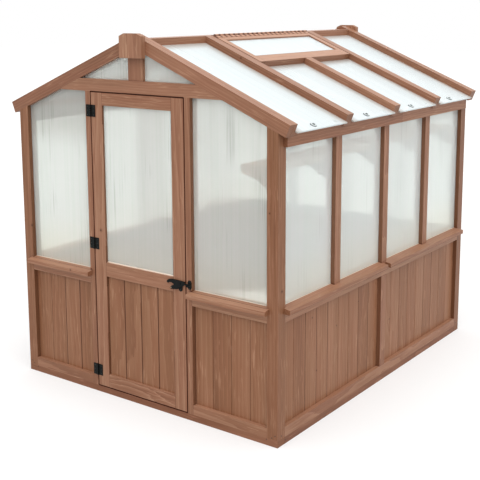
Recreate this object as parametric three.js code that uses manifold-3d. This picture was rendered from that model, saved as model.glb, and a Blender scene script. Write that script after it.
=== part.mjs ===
// A wooden walk-in greenhouse: boarded lower walls, ribbed glazing above them, a pitched
// roof of rafters and sheets with a hinged vent, and a hinged front door with a latch.
// Millimetres. X runs across the front, Y from the front to the back, Z up. The origin
// lies on the ground at the middle of the plan.
import * as THREE from "three";
import { mergeVertices } from "three/addons/utils/BufferGeometryUtils.js";
import Module from "manifold-3d";

const wasm = await Module();
wasm.setup();

// Driving dimensions of the house
const wallWidth = 1990;
const wallDepth = 2406;
const ridgeHeight = 2232;
const roofRise = 5;
const roofRun = 12;
const baseHeight = 40;
const postSize = 72;

// Wall frames, boards and glazing
const frameThick = 27;
const boardThick = 14;
const glazingThick = 6;
const footRailHeight = 58;
const sillUnder = 750;
const midRailHeight = 50;
const mullionWidth = 64;
const middlePostWidth = 62;
const grooveWidth = 5;
const grooveDepth = 4;
const frontBoardCount = 4;
const sideBoardCount = 9;
const backBoardCount = 7;

// Window sills
const sillReach = 40;
const sillEdge = 26;
const sillFall = 12;
const sillLap = 14;

// Doorway, stops and the gable's tie beam
const doorwayWidth = 724;
const doorwayDrop = 340;
const jambWidth = 42;
const stopLap = 12;
const stopSeat = 21;
const tieHeight = 75;
const kingWidth = 113;
const kingSink = 8;

// Door leaf
const doorSideGap = 3;
const doorFootGap = 4;
const doorHeadGap = 4;
const stileWidth = 92;
const doorTopRail = 77;
const doorFootRail = 85;
const doorPanelTop = 762;
const doorMidRail = 86;
const doorSink = 14;
const rebate = 10;
const rebateSlack = 1;
const doorBoardCount = 4;

// Eaves
const plateHeight = 103;
const eaveReach = 24;
const eaveEndInset = 50;

// Rafters, ridge and roof sheets
const rafterWidth = 70;
const rafterDepth = 72;
const tailReach = 73;
const bargeThick = 38;
const seamWidth = 2;
const seamDepth = 3;
const ridgeHalf = 58;
const ridgeDepth = 88;
const sheetSink = 39;
const sheetThick = 8;
const sheetTailReach = 16;

// Ridge caps on the gables
const capWidth = 170;
const capHeight = 140;
const capThick = 34;
const capProud = 7;
const capChamferAcross = 36;
const capChamferDown = 16;

// Roof vent
const ventHeadGap = 2;
const ventFoot = 450;
const ventThick = 36;
const ventTopRail = 62;
const ventFootRail = 81;
const ventStile = 49;
const ventSideGap = 12;
const ventFootGap = 2;
const ventPaneSink = 10;
const ventPaneThick = 8;
const ventLip = 10;
const trimmerWidth = 40;

// Door hinges
const hingeHeight = 72;
const hingeFromFoot = 101;
const hingeFromHead = 113;
const hingeOverSill = 210;
const hingeLeafReach = 38;
const hingeLeafThick = 2.5;
const knuckleRadius = 5;
const knuckleClear = 1;
const knuckleGap = 0.5;
const hingePinRadius = 2.2;
const pinClearance = 0.5;
const hingeKnuckles = 5;
const knuckleSides = 16;

// Piano hinge of the roof vent
const ventKnuckles = 21;
const ventKnuckleRadius = 4.5;
const ventPinRadius = 2;
const ventLeafThick = 2.2;
const ventLeafReach = 20;
const ventKnuckleOver = 2.5;
const ventKnuckleSides = 10;

// Door latch. The lever's outline is given as shares of its handle's reach, right of its
// pin and above it, from the top of its bar round the handle and the thumb lobe.
const latchHeight = 820;
const latchFromEdge = 36;
const latchPlateWidth = 28;
const latchPlateTop = 12;
const latchPlateTail = 47;
const latchTailWidth = 25;
const latchTailSteps = 6;
const latchPlateThick = 4;
const leverThick = 7;
const leverGap = 0.6;
const leverPinRadius = 4;
const leverHeadRadius = 7;
const leverHeadThick = 2.5;
const leverBarTop = 5.5;
const leverBarUnder = -1.5;
const leverReach = 98;
const leverBodyShares = [
  [0.36, 0.17],
  [-0.1, 0.19],
  [-0.58, 0.2],
  [-0.83, 0.16],
  [-0.93, 0.1],
  [-1, 0.02],
  [-0.97, -0.05],
  [-0.88, -0.08],
  [-0.79, -0.01],
  [-0.66, 0],
  [-0.48, -0.05],
  [-0.46, -0.14],
  [-0.64, -0.21],
  [-0.76, -0.33],
  [-0.69, -0.41],
  [-0.46, -0.39],
  [-0.14, -0.34],
  [0.05, -0.18],
  [0.2, -0.12],
];
const leverBarRoot = 35;
const catchWidth = 29;
const catchHeight = 54;
const catchThick = 3;
const catchReach = 15;
const catchLedge = 8;
const catchHorn = 20;
const catchHornThick = 5;

// Shelf along the right wall
const shelfDrop = 123;
const shelfThick = 25;
const shelfDepth = 262;
const shelfStandoff = 39;
const shelfEndGap = 1;
const bracketThick = 24;
const bracketDrop = 120;
const bracketInset = 2;
// From the shelf's front edge towards the wall, and from its underside down
const bracketShares = [
  [0, 0.09],
  [0.05, 0.19],
  [0.26, 0.3],
  [0.42, 0.42],
  [0.5, 0.53],
  [0.58, 0.68],
  [0.69, 0.85],
  [0.82, 0.92],
  [1, 1],
];

// Fits and cuts
const gap = 0.3;
const overrun = 10;

// Places that follow from the sizes
const sideFace = wallWidth / 2;
const gableFace = wallDepth / 2;
const sideInner = sideFace - postSize;
const gableInner = gableFace - postSize;
const sideBack = sideFace - frameThick;
const gableBack = gableFace - frameThick;
const footRailTop = baseHeight + footRailHeight;
const midRailFoot = sillUnder - midRailHeight;
const glazingFoot = sillUnder - midRailHeight / 2;
const doorwayHalf = doorwayWidth / 2;
const doorwayHead = ridgeHeight - doorwayDrop;
const tieTop = doorwayHead + tieHeight;
const jambOuter = doorwayHalf + jambWidth;
const pitch = Math.atan2(roofRise, roofRun);
const cosPitch = Math.cos(pitch);
const sinPitch = Math.sin(pitch);
const windowWidth = (gableInner * 2 - middlePostWidth - mullionWidth * 2) / 4;
const mullionPlace = middlePostWidth / 2 + windowWidth + mullionWidth / 2;
const backWindow = (sideInner - middlePostWidth / 2 - mullionWidth) / 2;
const backMullion = middlePostWidth / 2 + backWindow + mullionWidth / 2;

const woodLook = { roughness: 0.72, metalness: 0 };
const frameWood = new THREE.MeshStandardMaterial({ color: 0xa07058, ...woodLook });
const boardWood = new THREE.MeshStandardMaterial({ color: 0x9a6a52, ...woodLook });
const roofWood = new THREE.MeshStandardMaterial({ color: 0xb08066, ...woodLook });
const wallGlazing = new THREE.MeshStandardMaterial({
  color: 0xe2e8e2,
  roughness: 0.35,
  metalness: 0,
  transparent: true,
  opacity: 0.75,
});
const roofGlazing = new THREE.MeshStandardMaterial({
  color: 0xf0fbfc,
  roughness: 0.35,
  metalness: 0,
  transparent: true,
  opacity: 0.85,
});
const blackIron = new THREE.MeshStandardMaterial({ color: 0x22282a, roughness: 0.45, metalness: 0.6 });

const greenhouse = new THREE.Group();

function addPiece(name, geometry, material, parent = greenhouse) {
  const mesh = new THREE.Mesh(geometry, material);
  mesh.name = name;
  parent.add(mesh);
  return mesh;
}

// An outline drawn in one plane and run from one end to the other along the third axis.
// place sets a vertex from its two outline coordinates and its end.
function run(outline, near, far, place) {
  const shape = new THREE.Shape(outline.map(([a, b]) => new THREE.Vector2(a, b)));
  const geometry = new THREE.ExtrudeGeometry(shape, { depth: 1, bevelEnabled: false });
  const position = geometry.getAttribute("position");
  for (let i = 0; i < position.count; i++) {
    const end = position.getZ(i) > 0.5 ? far : near;
    position.setXYZ(i, ...place(position.getX(i), position.getY(i), end));
  }
  return geometry;
}

const alongX = (outline, x0, x1) => run(outline, x0, x1, (y, z, x) => [x, y, z]);
const alongY = (outline, y0, y1) => run(outline, y1, y0, (x, z, y) => [x, y, z]);
const alongZ = (outline, z0, z1) => run(outline, z0, z1, (x, y, z) => [x, y, z]);

function box(xa, xb, ya, yb, z0, z1) {
  const [x0, x1] = [Math.min(xa, xb), Math.max(xa, xb)];
  const [y0, y1] = [Math.min(ya, yb), Math.max(ya, yb)];
  return alongZ([[x0, y0], [x1, y0], [x1, y1], [x0, y1]], z0, z1);
}

// A regular prism on the circle of a pin or knuckle.
function round(u, v, radius, sides) {
  const turn = (i) => (2 * Math.PI * (i + 0.5)) / sides;
  return Array.from({ length: sides }, (_, i) => [
    u + radius * Math.cos(turn(i)),
    v + radius * Math.sin(turn(i)),
  ]);
}

function solid(geometry) {
  const bare = geometry.clone();
  bare.deleteAttribute("normal");
  bare.deleteAttribute("uv");
  const merged = mergeVertices(bare, 1e-4);
  return new wasm.Manifold(
    new wasm.Mesh({
      numProp: 3,
      vertProperties: merged.getAttribute("position").array,
      triVerts: new Uint32Array(merged.index.array),
    }),
  );
}

function geometryOf(body) {
  const mesh = body.getMesh();
  const geometry = new THREE.BufferGeometry();
  const corners = new Float32Array(mesh.triVerts.length * 3);
  mesh.triVerts.forEach((vertex, i) => {
    const start = vertex * mesh.numProp;
    corners.set(mesh.vertProperties.subarray(start, start + 3), i * 3);
  });
  geometry.setAttribute("position", new THREE.BufferAttribute(corners, 3));
  geometry.computeVertexNormals();
  return geometry;
}

// Joins the first list of geometries and cuts the second list from the result.
function joined(parts, cuts = []) {
  let body = parts.map(solid).reduce((a, b) => a.add(b));
  for (const cut of cuts) body = body.subtract(solid(cut));
  return geometryOf(body);
}

// The roof planes: height of the rafters' top and underside over a place across the house,
// and the place across where the underside passes a height.
const roofTop = (x) => ridgeHeight - (Math.abs(x) * roofRise) / roofRun;
const roofUnder = (x) => roofTop(x) - rafterDepth / cosPitch;
const sheetUnder = (x) => roofTop(x) - (sheetSink + sheetThick) / cosPitch;
const underAcross = (z) => ((roofUnder(0) - gap - z) * roofRun) / roofRise;
const eaveUnder = sheetUnder(sideFace) - gap - plateHeight;
const shelfTop = eaveUnder - shelfDrop;

// A point by its way down the slope from the ridge line and its depth below the rafter tops.
function onSlope(side, down, below) {
  return [
    side * (down * cosPitch - below * sinPitch),
    ridgeHeight - down * sinPitch - below * cosPitch,
  ];
}

function slopeBlock(side, down0, down1, below0, below1) {
  return [
    onSlope(side, down0, below0),
    onSlope(side, down1, below0),
    onSlope(side, down1, below1),
    onSlope(side, down0, below1),
  ];
}

// Base and corner posts

function baseFrame() {
  const outer = box(-sideFace, sideFace, -gableFace, gableFace, 0, baseHeight);
  const inner = box(-sideInner, sideInner, -gableInner, gableInner, -overrun, baseHeight + overrun);
  return joined([outer], [inner]);
}

function cornerPost(across, along) {
  const outline = [
    [across * sideInner, baseHeight],
    [across * sideFace, baseHeight],
    [across * sideFace, roofUnder(sideFace) - gap],
    [across * sideInner, roofUnder(sideInner) - gap],
  ];
  const ends = [along * gableInner, along * gableFace].sort((a, b) => a - b);
  return alongY(outline, ...ends);
}

// Wall frames. A sill's outline is drawn by its reach out of the wall, and is run in two
// lengths: the inner one between the posts and the outer one lapping over them.

const sillNose = sillUnder + sillEdge;
const sillBack = sillNose + sillFall;
const sillAtFace = sillNose + (sillFall * sillReach) / (sillReach + frameThick);

function sillParts(face, out, runAlong, inner, outer) {
  const place = (reach, z) => [out * (face + reach), z];
  const insidePart = [
    place(-frameThick, sillUnder - midRailHeight / 2),
    place(0, sillUnder - midRailHeight / 2),
    place(0, sillAtFace),
    place(-frameThick, sillBack),
  ];
  const outsidePart = [
    place(0, sillUnder),
    place(sillReach, sillUnder),
    place(sillReach, sillNose),
    place(0, sillAtFace),
  ];
  return [runAlong(insidePart, ...inner), runAlong(outsidePart, ...outer)];
}

function frontFrame(side) {
  const sorted = (a, b) => (a < b ? [a, b] : [b, a]);
  const rail = (z0, z1) =>
    box(side * (jambOuter - jambWidth / 2), side * sideInner, -gableFace, -gableBack, z0, z1);
  const jamb = box(side * doorwayHalf, side * jambOuter, -gableFace, -gableBack, baseHeight, doorwayHead);
  const stop = box(
    side * (doorwayHalf - stopLap),
    side * (doorwayHalf + stopSeat),
    -gableBack,
    -gableBack + boardThick,
    baseHeight,
    doorwayHead,
  );
  const sill = sillParts(
    gableFace,
    -1,
    alongX,
    sorted(side * (jambOuter - jambWidth / 2), side * sideInner),
    sorted(side * (jambOuter - sillLap), side * (sideInner + sillLap)),
  );
  return joined([
    jamb,
    rail(baseHeight, footRailTop),
    rail(midRailFoot, sillUnder),
    ...sill,
    stop,
  ]);
}

function backFrame() {
  const across = (x0, x1, z0, z1) => box(x0, x1, gableBack, gableFace, z0, z1);
  const upright = (centre, width, z0) =>
    across(centre - width / 2, centre + width / 2, z0, doorwayHead);
  const post = middlePostWidth / 2;
  const sills = [-1, 1].flatMap((side) => {
    const [inner, outer] = [post - sillLap, sideInner + sillLap];
    const reach = side < 0 ? [-outer, -inner] : [inner, outer];
    return sillParts(gableFace, 1, alongX, [-sideInner, sideInner], reach);
  });
  return joined([
    across(-sideInner, sideInner, baseHeight, footRailTop),
    across(-sideInner, sideInner, midRailFoot, sillUnder),
    upright(0, middlePostWidth, baseHeight),
    upright(-backMullion, mullionWidth, glazingFoot),
    upright(backMullion, mullionWidth, glazingFoot),
    ...sills,
  ]);
}

// Where each rafter lies along the house: the outer ones are doubled over the gable walls,
// and the others stand over the mullions and the middle post.
const rafterPlaces = [
  [-gableFace, -gableInner],
  [-mullionPlace - rafterWidth / 2, -mullionPlace + rafterWidth / 2],
  [-rafterWidth / 2, rafterWidth / 2],
  [mullionPlace - rafterWidth / 2, mullionPlace + rafterWidth / 2],
  [gableInner, gableFace],
];

function sideFrame(side) {
  const along = (y0, y1, z0, z1) => box(side * sideBack, side * sideFace, y0, y1, z0, z1);
  const upright = (centre, width, z0) =>
    along(centre - width / 2, centre + width / 2, z0, eaveUnder + frameThick);
  const post = middlePostWidth / 2;
  const sills = [-1, 1].flatMap((end) => {
    const [inner, outer] = [post - sillLap, gableInner + sillLap];
    const reach = end < 0 ? [-outer, -inner] : [inner, outer];
    return sillParts(sideFace, side, alongY, [-gableInner, gableInner], reach);
  });
  const plateTop = (x) => sheetUnder(x) - gap;
  const eaveFace = sideFace + eaveReach;
  const plate = [
    [side * sideBack, eaveUnder],
    [side * sideFace, eaveUnder],
    [side * sideFace, plateTop(sideFace)],
    [side * sideBack, plateTop(sideBack)],
  ];
  const board = [
    [side * sideFace, eaveUnder],
    [side * eaveFace, eaveUnder],
    [side * eaveFace, plateTop(eaveFace)],
    [side * sideFace, plateTop(sideFace)],
  ];
  const boardEnd = gableFace - eaveEndInset;
  const seat = [
    [side * (sideBack - overrun), roofUnder(sideBack - overrun) - gap],
    [side * (eaveFace + overrun), roofUnder(eaveFace + overrun) - gap],
    [side * (eaveFace + overrun), ridgeHeight],
    [side * (sideBack - overrun), ridgeHeight],
  ];
  const seats = rafterPlaces.map(([y0, y1]) => alongY(seat, y0 - gap, y1 + gap));
  return joined(
    [
      along(-gableInner, gableInner, baseHeight, footRailTop),
      along(-gableInner, gableInner, midRailFoot, sillUnder),
      upright(0, middlePostWidth, baseHeight),
      upright(-mullionPlace, mullionWidth, glazingFoot),
      upright(mullionPlace, mullionWidth, glazingFoot),
      ...sills,
      alongY(plate, -gableInner, gableInner),
      alongY(board, -boardEnd, boardEnd),
    ],
    seats,
  );
}

// Boards: one sheet for each run of tongued boards, with a V-groove at each joint.

// The joints between boards, evenly spaced over each stretch that shows.
function jointPlaces(start, end, count) {
  const width = (end - start) / count;
  return Array.from({ length: count - 1 }, (_, i) => start + width * (i + 1));
}

function grooves(joints, face, inward, runUp) {
  return joints.map((place) =>
    runUp([
      [place - grooveWidth / 2, face],
      [place + grooveWidth / 2, face],
      [place, face + inward * grooveDepth],
    ]),
  );
}

function gableBoards(x0, x1, face, inward, joints) {
  const sheet = box(x0, x1, face, face + inward * boardThick, baseHeight, glazingFoot);
  const up = (outline) => alongZ(outline, baseHeight - overrun, glazingFoot + overrun);
  return joined([sheet], grooves(joints, face, inward, up));
}

function sideBoards(side) {
  const face = side * sideBack;
  const post = middlePostWidth / 2;
  const sheet = box(face, face - side * boardThick, -gableInner, gableInner, baseHeight, glazingFoot);
  const joints = [
    ...jointPlaces(-gableInner, -post, sideBoardCount),
    ...jointPlaces(post, gableInner, sideBoardCount),
  ];
  const up = (outline) =>
    alongZ(outline.map(([y, x]) => [x, y]), baseHeight - overrun, glazingFoot + overrun);
  return joined([sheet], grooves(joints, face, -side, up));
}

// Glazing sheets behind the wall frames

function sideGlazing(side) {
  const inner = side * (sideBack - glazingThick);
  return box(side * sideBack, inner, -gableInner, gableInner, glazingFoot, roofUnder(sideBack) - gap);
}

function gableGlazing(end) {
  const outline = [
    [-sideInner, glazingFoot],
    [sideInner, glazingFoot],
    [sideInner, roofUnder(sideInner) - gap],
    [0, roofUnder(0) - gap],
    [-sideInner, roofUnder(sideInner) - gap],
  ];
  const ends = [end * gableBack, end * (gableBack - glazingThick)].sort((a, b) => a - b);
  const sheet = alongY(outline, ...ends);
  if (end > 0) return joined([sheet]);
  const clear = doorwayHalf + stopSeat;
  const cut = box(
    -clear,
    clear,
    ends[0] - overrun,
    ends[1] + overrun,
    glazingFoot - overrun,
    doorwayHead + tieHeight / 2,
  );
  return joined([sheet], [cut]);
}

// Gable trusses: the tie beam over the doorway and the king post on it, and on the front
// the stop that the door's head closes against.

function truss(end) {
  const ends = [end * gableFace, end * gableBack].sort((a, b) => a - b);
  const kingEnds = [end * (gableFace - kingSink), end * gableBack].sort((a, b) => a - b);
  const tie = [
    [-underAcross(doorwayHead), doorwayHead],
    [underAcross(doorwayHead), doorwayHead],
    [underAcross(tieTop), tieTop],
    [-underAcross(tieTop), tieTop],
  ];
  const king = [
    [-kingWidth / 2, tieTop - tieHeight / 2],
    [kingWidth / 2, tieTop - tieHeight / 2],
    [kingWidth / 2, roofUnder(kingWidth / 2) - gap],
    [0, roofUnder(0) - gap],
    [-kingWidth / 2, roofUnder(kingWidth / 2) - gap],
  ];
  const parts = [alongY(tie, ...ends), alongY(king, ...kingEnds)];
  if (end < 0) {
    const half = doorwayHalf - stopLap;
    const [back, foot] = [-gableBack + boardThick, doorwayHead - stopLap];
    parts.push(box(-half, half, -gableBack, back, foot, doorwayHead));
    parts.push(box(-half, half, -gableBack - frameThick / 2, back, doorwayHead, doorwayHead + stopSeat));
  }
  return joined(parts);
}

function ridgeCap(end) {
  const top = ridgeHeight + capProud;
  const half = capWidth / 2;
  const outline = [
    [-half, top - capHeight],
    [half, top - capHeight],
    [half, top - capChamferDown],
    [half - capChamferAcross, top],
    [-half + capChamferAcross, top],
    [-half, top - capChamferDown],
  ];
  const ends = [end * gableFace, end * (gableFace + capThick)].sort((a, b) => a - b);
  return alongY(outline, ...ends);
}

// Roof

const tailDown = (sideFace + tailReach) / cosPitch;

function rafterOutline(side, headAcross) {
  return [
    [side * headAcross, roofTop(headAcross)],
    onSlope(side, tailDown, 0),
    onSlope(side, tailDown, rafterDepth),
    [side * headAcross, roofUnder(headAcross)],
  ];
}

// The rafters over the gable walls are two members side by side, with a seam between them.
function gableRafter(side, [y0, y1]) {
  const front = y0 < 0 ? y0 + bargeThick : y1 - bargeThick;
  const seam = (outline) => alongY(outline, front - seamWidth / 2, front + seamWidth / 2);
  return joined(
    [alongY(rafterOutline(side, 0), y0, y1)],
    [
      seam(slopeBlock(side, -overrun, tailDown + overrun, -overrun, seamDepth)),
      seam(slopeBlock(side, tailDown - seamDepth, tailDown + overrun, -overrun, rafterDepth + overrun)),
    ],
  );
}

function shortRafter(side, [y0, y1]) {
  return alongY(slopeBlock(side, ventFoot + ventFootGap, tailDown, 0, rafterDepth), y0, y1);
}

function ridgeBeam() {
  const top = roofTop(ridgeHalf);
  return box(-ridgeHalf, ridgeHalf, -gableInner, gableInner, top - ridgeDepth, top);
}

function roofSheet(side, y0, y1, underVent) {
  const tail = tailDown + sheetTailReach;
  const [top, under] = [sheetSink, sheetSink + sheetThick];
  const head = ventFoot + ventFootGap;
  const outline = underVent
    ? slopeBlock(side, head, tail, top, under)
    : [
        [side * ridgeHalf, sheetUnder(ridgeHalf) + sheetThick / cosPitch],
        onSlope(side, tail, top),
        onSlope(side, tail, under),
        [side * ridgeHalf, sheetUnder(ridgeHalf)],
      ];
  return alongY(outline, y0, y1);
}

function addRoof() {
  for (const [side, name] of [[-1, "left"], [1, "right"]]) {
    rafterPlaces.forEach((place, i) => {
      const outer = i === 0 || i === rafterPlaces.length - 1;
      const short = side > 0 && i === (rafterPlaces.length - 1) / 2;
      let geometry = alongY(rafterOutline(side, ridgeHalf), ...place);
      if (outer) geometry = gableRafter(side, place);
      if (short) geometry = shortRafter(side, place);
      addPiece(`${name}_rafter_${i + 1}`, geometry, roofWood);
    });
    for (let bay = 1; bay < rafterPlaces.length; bay++) {
      const underVent = side > 0 && bay > 1 && bay < rafterPlaces.length - 1;
      const sheet = roofSheet(side, rafterPlaces[bay - 1][1], rafterPlaces[bay][0], underVent);
      addPiece(`${name}_roof_sheet_${bay}`, sheet, roofGlazing);
    }
  }
  addPiece("ridge_beam", ridgeBeam(), roofWood);
  addPiece("front_ridge_cap", ridgeCap(-1), roofWood);
  addPiece("back_ridge_cap", ridgeCap(1), roofWood);
}

// Roof vent over the two middle bays of the right slope. It hangs on a piano hinge along
// the ridge beam, and its foot closes on a trimmer between the rafters.

const ventBay = mullionPlace - rafterWidth / 2;
const ventHalf = ventBay - ventSideGap;
const ventHeadAcross = ridgeHalf + ventHeadGap;
const ventHead = ventHeadAcross / cosPitch;
const ventHingeAcross = ridgeHalf + ventKnuckleOver;
const ventHingeHeight = roofTop(ridgeHalf) + ventKnuckleRadius + gap;

function ventTrimmer() {
  const foot = ventFoot + ventFootGap - gap;
  const outline = slopeBlock(1, foot - trimmerWidth, foot, ventThick + gap, rafterDepth);
  return alongY(outline, -ventBay, ventBay);
}

function ventFrame() {
  const [head, foot] = [ventHead + ventTopRail, ventFoot - ventFootRail];
  const half = ventHalf - ventStile;
  const shelfDown = ventPaneSink + ventPaneThick + gap;
  const recess = alongY(slopeBlock(1, head, foot, -overrun, shelfDown), -half, half);
  const hole = alongY(
    slopeBlock(1, head + ventLip, foot - ventLip, 0, ventThick + overrun),
    -half + ventLip,
    half - ventLip,
  );
  const outline = [
    [ventHeadAcross, roofTop(ventHeadAcross)],
    onSlope(1, ventFoot, 0),
    onSlope(1, ventFoot, ventThick),
    [ventHeadAcross, roofTop(ventHeadAcross) - ventThick / cosPitch],
  ];
  return joined([alongY(outline, -ventHalf, ventHalf)], [recess, hole]);
}

function ventPane() {
  const [head, foot] = [ventHead + ventTopRail + rebateSlack, ventFoot - ventFootRail - rebateSlack];
  const half = ventHalf - ventStile - rebateSlack;
  const outline = slopeBlock(1, head, foot, ventPaneSink, ventPaneSink + ventPaneThick);
  return alongY(outline, -half, half);
}

// Spans along a hinge: even ones hold the fixed leaf's knuckles, odd ones the moving leaf's.
// Slack widens each span, for the notches that leave room for the other leaf's knuckles.
function knuckleSpans(low, high, count, moving, slack) {
  const length = (high - low) / count;
  return Array.from({ length: count }, (_, i) => [
    low + length * i - slack,
    low + length * (i + 1) + slack,
  ]).filter((_, i) => (i % 2 === 1) === moving);
}

function ventHingeLeaf(moving) {
  const top = roofTop(ridgeHalf);
  const reach = ventKnuckleRadius + knuckleClear;
  const [tab, start] = [ventHingeAcross / cosPitch, (ventHingeAcross + reach) / cosPitch];
  const leafTop = -gap - ventLeafThick;
  const spans = (odd, slack) => knuckleSpans(-ventHalf, ventHalf, ventKnuckles, odd, slack);
  const circle = (radius) => round(ventHingeAcross, ventHingeHeight, radius, ventKnuckleSides);
  const knuckles = spans(moving, -knuckleGap / 2).map((span) => alongY(circle(ventKnuckleRadius), ...span));
  const notches = spans(!moving, knuckleGap / 2);
  if (moving) {
    const leaf = slopeBlock(1, tab, start + ventLeafReach, leafTop, -gap);
    const notch = slopeBlock(1, tab - overrun, start, leafTop - overrun, overrun);
    const bore = alongY(circle(ventPinRadius + pinClearance), -ventHalf - overrun, ventHalf + overrun);
    const cuts = notches.map((span) => alongY(notch, ...span));
    return joined([alongY(leaf, -ventHalf, ventHalf), ...knuckles], [...cuts, bore]);
  }
  const edge = ventHingeAcross - reach;
  const leaf = box(edge - ventLeafReach, ventHingeAcross, -ventHalf, ventHalf, top, top + ventLeafThick);
  const cuts = notches.map(([y0, y1]) =>
    box(edge, ventHingeAcross + overrun, y0, y1, top - overrun, ventHingeHeight),
  );
  const pin = alongY(circle(ventPinRadius), -ventHalf + knuckleGap, ventHalf - knuckleGap);
  return geometryOf(solid(joined([leaf, ...knuckles], cuts)).add(solid(pin)));
}

// Door

const doorHalf = doorwayHalf - doorSideGap;
const doorFoot = baseHeight + doorFootGap;
const doorTop = doorwayHead - doorHeadGap;
const doorOpening = doorHalf - stileWidth;
const doorGlassFoot = doorPanelTop + doorMidRail;
const doorGlassTop = doorTop - doorTopRail;
const doorPanelFoot = doorFoot + doorFootRail;
const rebateFace = -gableFace + doorSink;
const hingeCentres = [doorFoot + hingeFromFoot, sillUnder + hingeOverSill, doorTop - hingeFromHead];

function doorFrame() {
  const leaf = box(-doorHalf, doorHalf, -gableFace, -gableBack, doorFoot, doorTop);
  const cuts = [[doorPanelFoot, doorPanelTop], [doorGlassFoot, doorGlassTop]].flatMap(([z0, z1]) => [
    box(-doorOpening, doorOpening, -gableFace - overrun, -gableBack + overrun, z0, z1),
    box(
      -doorOpening - rebate,
      doorOpening + rebate,
      rebateFace,
      -gableBack + overrun,
      z0 - rebate,
      z1 + rebate,
    ),
  ]);
  return joined([leaf], cuts);
}

function doorInfill(z0, z1, thick) {
  const seat = rebate - rebateSlack;
  const half = doorOpening + seat;
  return box(-half, half, rebateFace, rebateFace + thick, z0 - seat, z1 + seat);
}

function doorBoards() {
  const joints = jointPlaces(-doorOpening, doorOpening, doorBoardCount);
  const up = (outline) => alongZ(outline, doorPanelFoot - rebate, doorPanelTop + rebate);
  const panel = doorInfill(doorPanelFoot, doorPanelTop, frameThick - doorSink);
  return joined([panel], grooves(joints, rebateFace, 1, up));
}

// Door hinges: a jamb leaf with the pin, and a door leaf that turns on it. The barrel
// stands in front of the gap at the door's left edge.

const hingeAcross = -doorwayHalf + doorSideGap / 2;
const hingeForward = -gableFace - knuckleRadius - gap;

function doorHinge(centre, moving) {
  const [z0, z1] = [centre - hingeHeight / 2, centre + hingeHeight / 2];
  const side = moving ? 1 : -1;
  const face = -gableFace - hingeLeafThick;
  const edge = hingeAcross + side * (knuckleRadius + knuckleClear);
  const spans = (odd, slack) => knuckleSpans(z0, z1, hingeKnuckles, odd, slack);
  const circle = (radius) => round(hingeAcross, hingeForward, radius, knuckleSides);
  const leaf = box(hingeAcross, hingeAcross + side * hingeLeafReach, face, -gableFace, z0, z1);
  const knuckles = spans(moving, -knuckleGap / 2).map((span) => alongZ(circle(knuckleRadius), ...span));
  const notches = spans(!moving, knuckleGap / 2).map((span) =>
    box(hingeAcross - side * overrun, edge, face - overrun, -gableFace + overrun, ...span),
  );
  const body = joined([leaf, ...knuckles], notches);
  if (moving) return joined([body], [alongZ(circle(hingePinRadius + pinClearance), z0 - overrun, z1 + overrun)]);
  return joined([body, alongZ(circle(hingePinRadius), z0 + knuckleGap, z1 - knuckleGap)]);
}

// Latch: a plate with a pin on the door, a lever that rocks on the pin, and a catch on the
// right jamb whose ledge holds up the lever's bar. The catch is open at the front.

const latchAcross = doorHalf - latchFromEdge;
const leverBack = -gableFace - latchPlateThick - leverGap;
const leverFace = leverBack - leverThick;
const catchAcross = jambOuter - catchWidth / 2;
const barUnder = latchHeight + leverBarUnder;
const catchCentre = latchHeight + (leverBarTop + leverBarUnder) / 2;

function latchPlate() {
  const half = latchPlateWidth / 2;
  const lobe = latchTailWidth / 2;
  const tail = Array.from({ length: latchTailSteps + 1 }, (_, i) => {
    const turn = Math.PI * (i / latchTailSteps);
    return [latchAcross - lobe * Math.cos(turn), latchHeight - latchPlateTail + lobe * (1 - Math.sin(turn))];
  });
  const outline = [
    [latchAcross - half, latchHeight - half],
    ...tail,
    [latchAcross + half, latchHeight - half],
    [latchAcross + half, latchHeight + latchPlateTop],
    [latchAcross - half, latchHeight + latchPlateTop],
  ];
  const pin = round(latchAcross, latchHeight, leverPinRadius, knuckleSides);
  const head = round(latchAcross, latchHeight, leverHeadRadius, knuckleSides);
  const pinEnd = leverFace - leverGap;
  return joined([
    alongY(outline, -gableFace - latchPlateThick, -gableFace),
    alongY(pin, pinEnd - leverHeadThick, -gableFace),
    alongY(head, pinEnd - leverHeadThick, pinEnd),
  ]);
}

function leverOutline() {
  const barEnd = catchAcross - latchAcross + catchWidth / 2 - catchHornThick - knuckleClear;
  const bar = [[leverBarRoot, leverBarUnder], [barEnd, leverBarUnder]];
  const barTop = [[barEnd, leverBarTop], [leverBarRoot, leverBarTop]];
  const body = leverBodyShares.map(([x, z]) => [x * leverReach, z * leverReach]);
  return [...barTop, ...body, ...bar].map(([x, z]) => [latchAcross + x, latchHeight + z]);
}

function latchLever() {
  const hole = round(latchAcross, latchHeight, leverPinRadius + pinClearance, knuckleSides);
  return joined(
    [alongY(leverOutline(), leverFace, leverBack)],
    [alongY(hole, leverFace - overrun, leverBack + overrun)],
  );
}

function latchCatch() {
  const half = catchWidth / 2;
  const plateOutline = [
    [-half / 2, -catchHeight / 2],
    [half / 2, -catchHeight / 2],
    [half, -half],
    [half, half],
    [half / 2, catchHeight / 2],
    [-half / 2, catchHeight / 2],
    [-half, half],
    [-half, -half],
  ].map(([x, z]) => [catchAcross + x, catchCentre + z]);
  const front = -gableFace - catchReach;
  const ledgeTop = barUnder - gap;
  const hornFoot = catchAcross + half - catchHornThick;
  return joined([
    alongY(plateOutline, -gableFace - catchThick, -gableFace),
    box(catchAcross - half, catchAcross + half, front, -gableFace, ledgeTop - catchLedge, ledgeTop),
    box(hornFoot, catchAcross + half, front, -gableFace, ledgeTop - catchLedge, ledgeTop + catchHorn),
  ]);
}

// Shelf along the right wall, on ogee brackets at the posts and mullions. Its board stops short
// of the glazing, level with the corner posts' inner faces.

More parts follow.
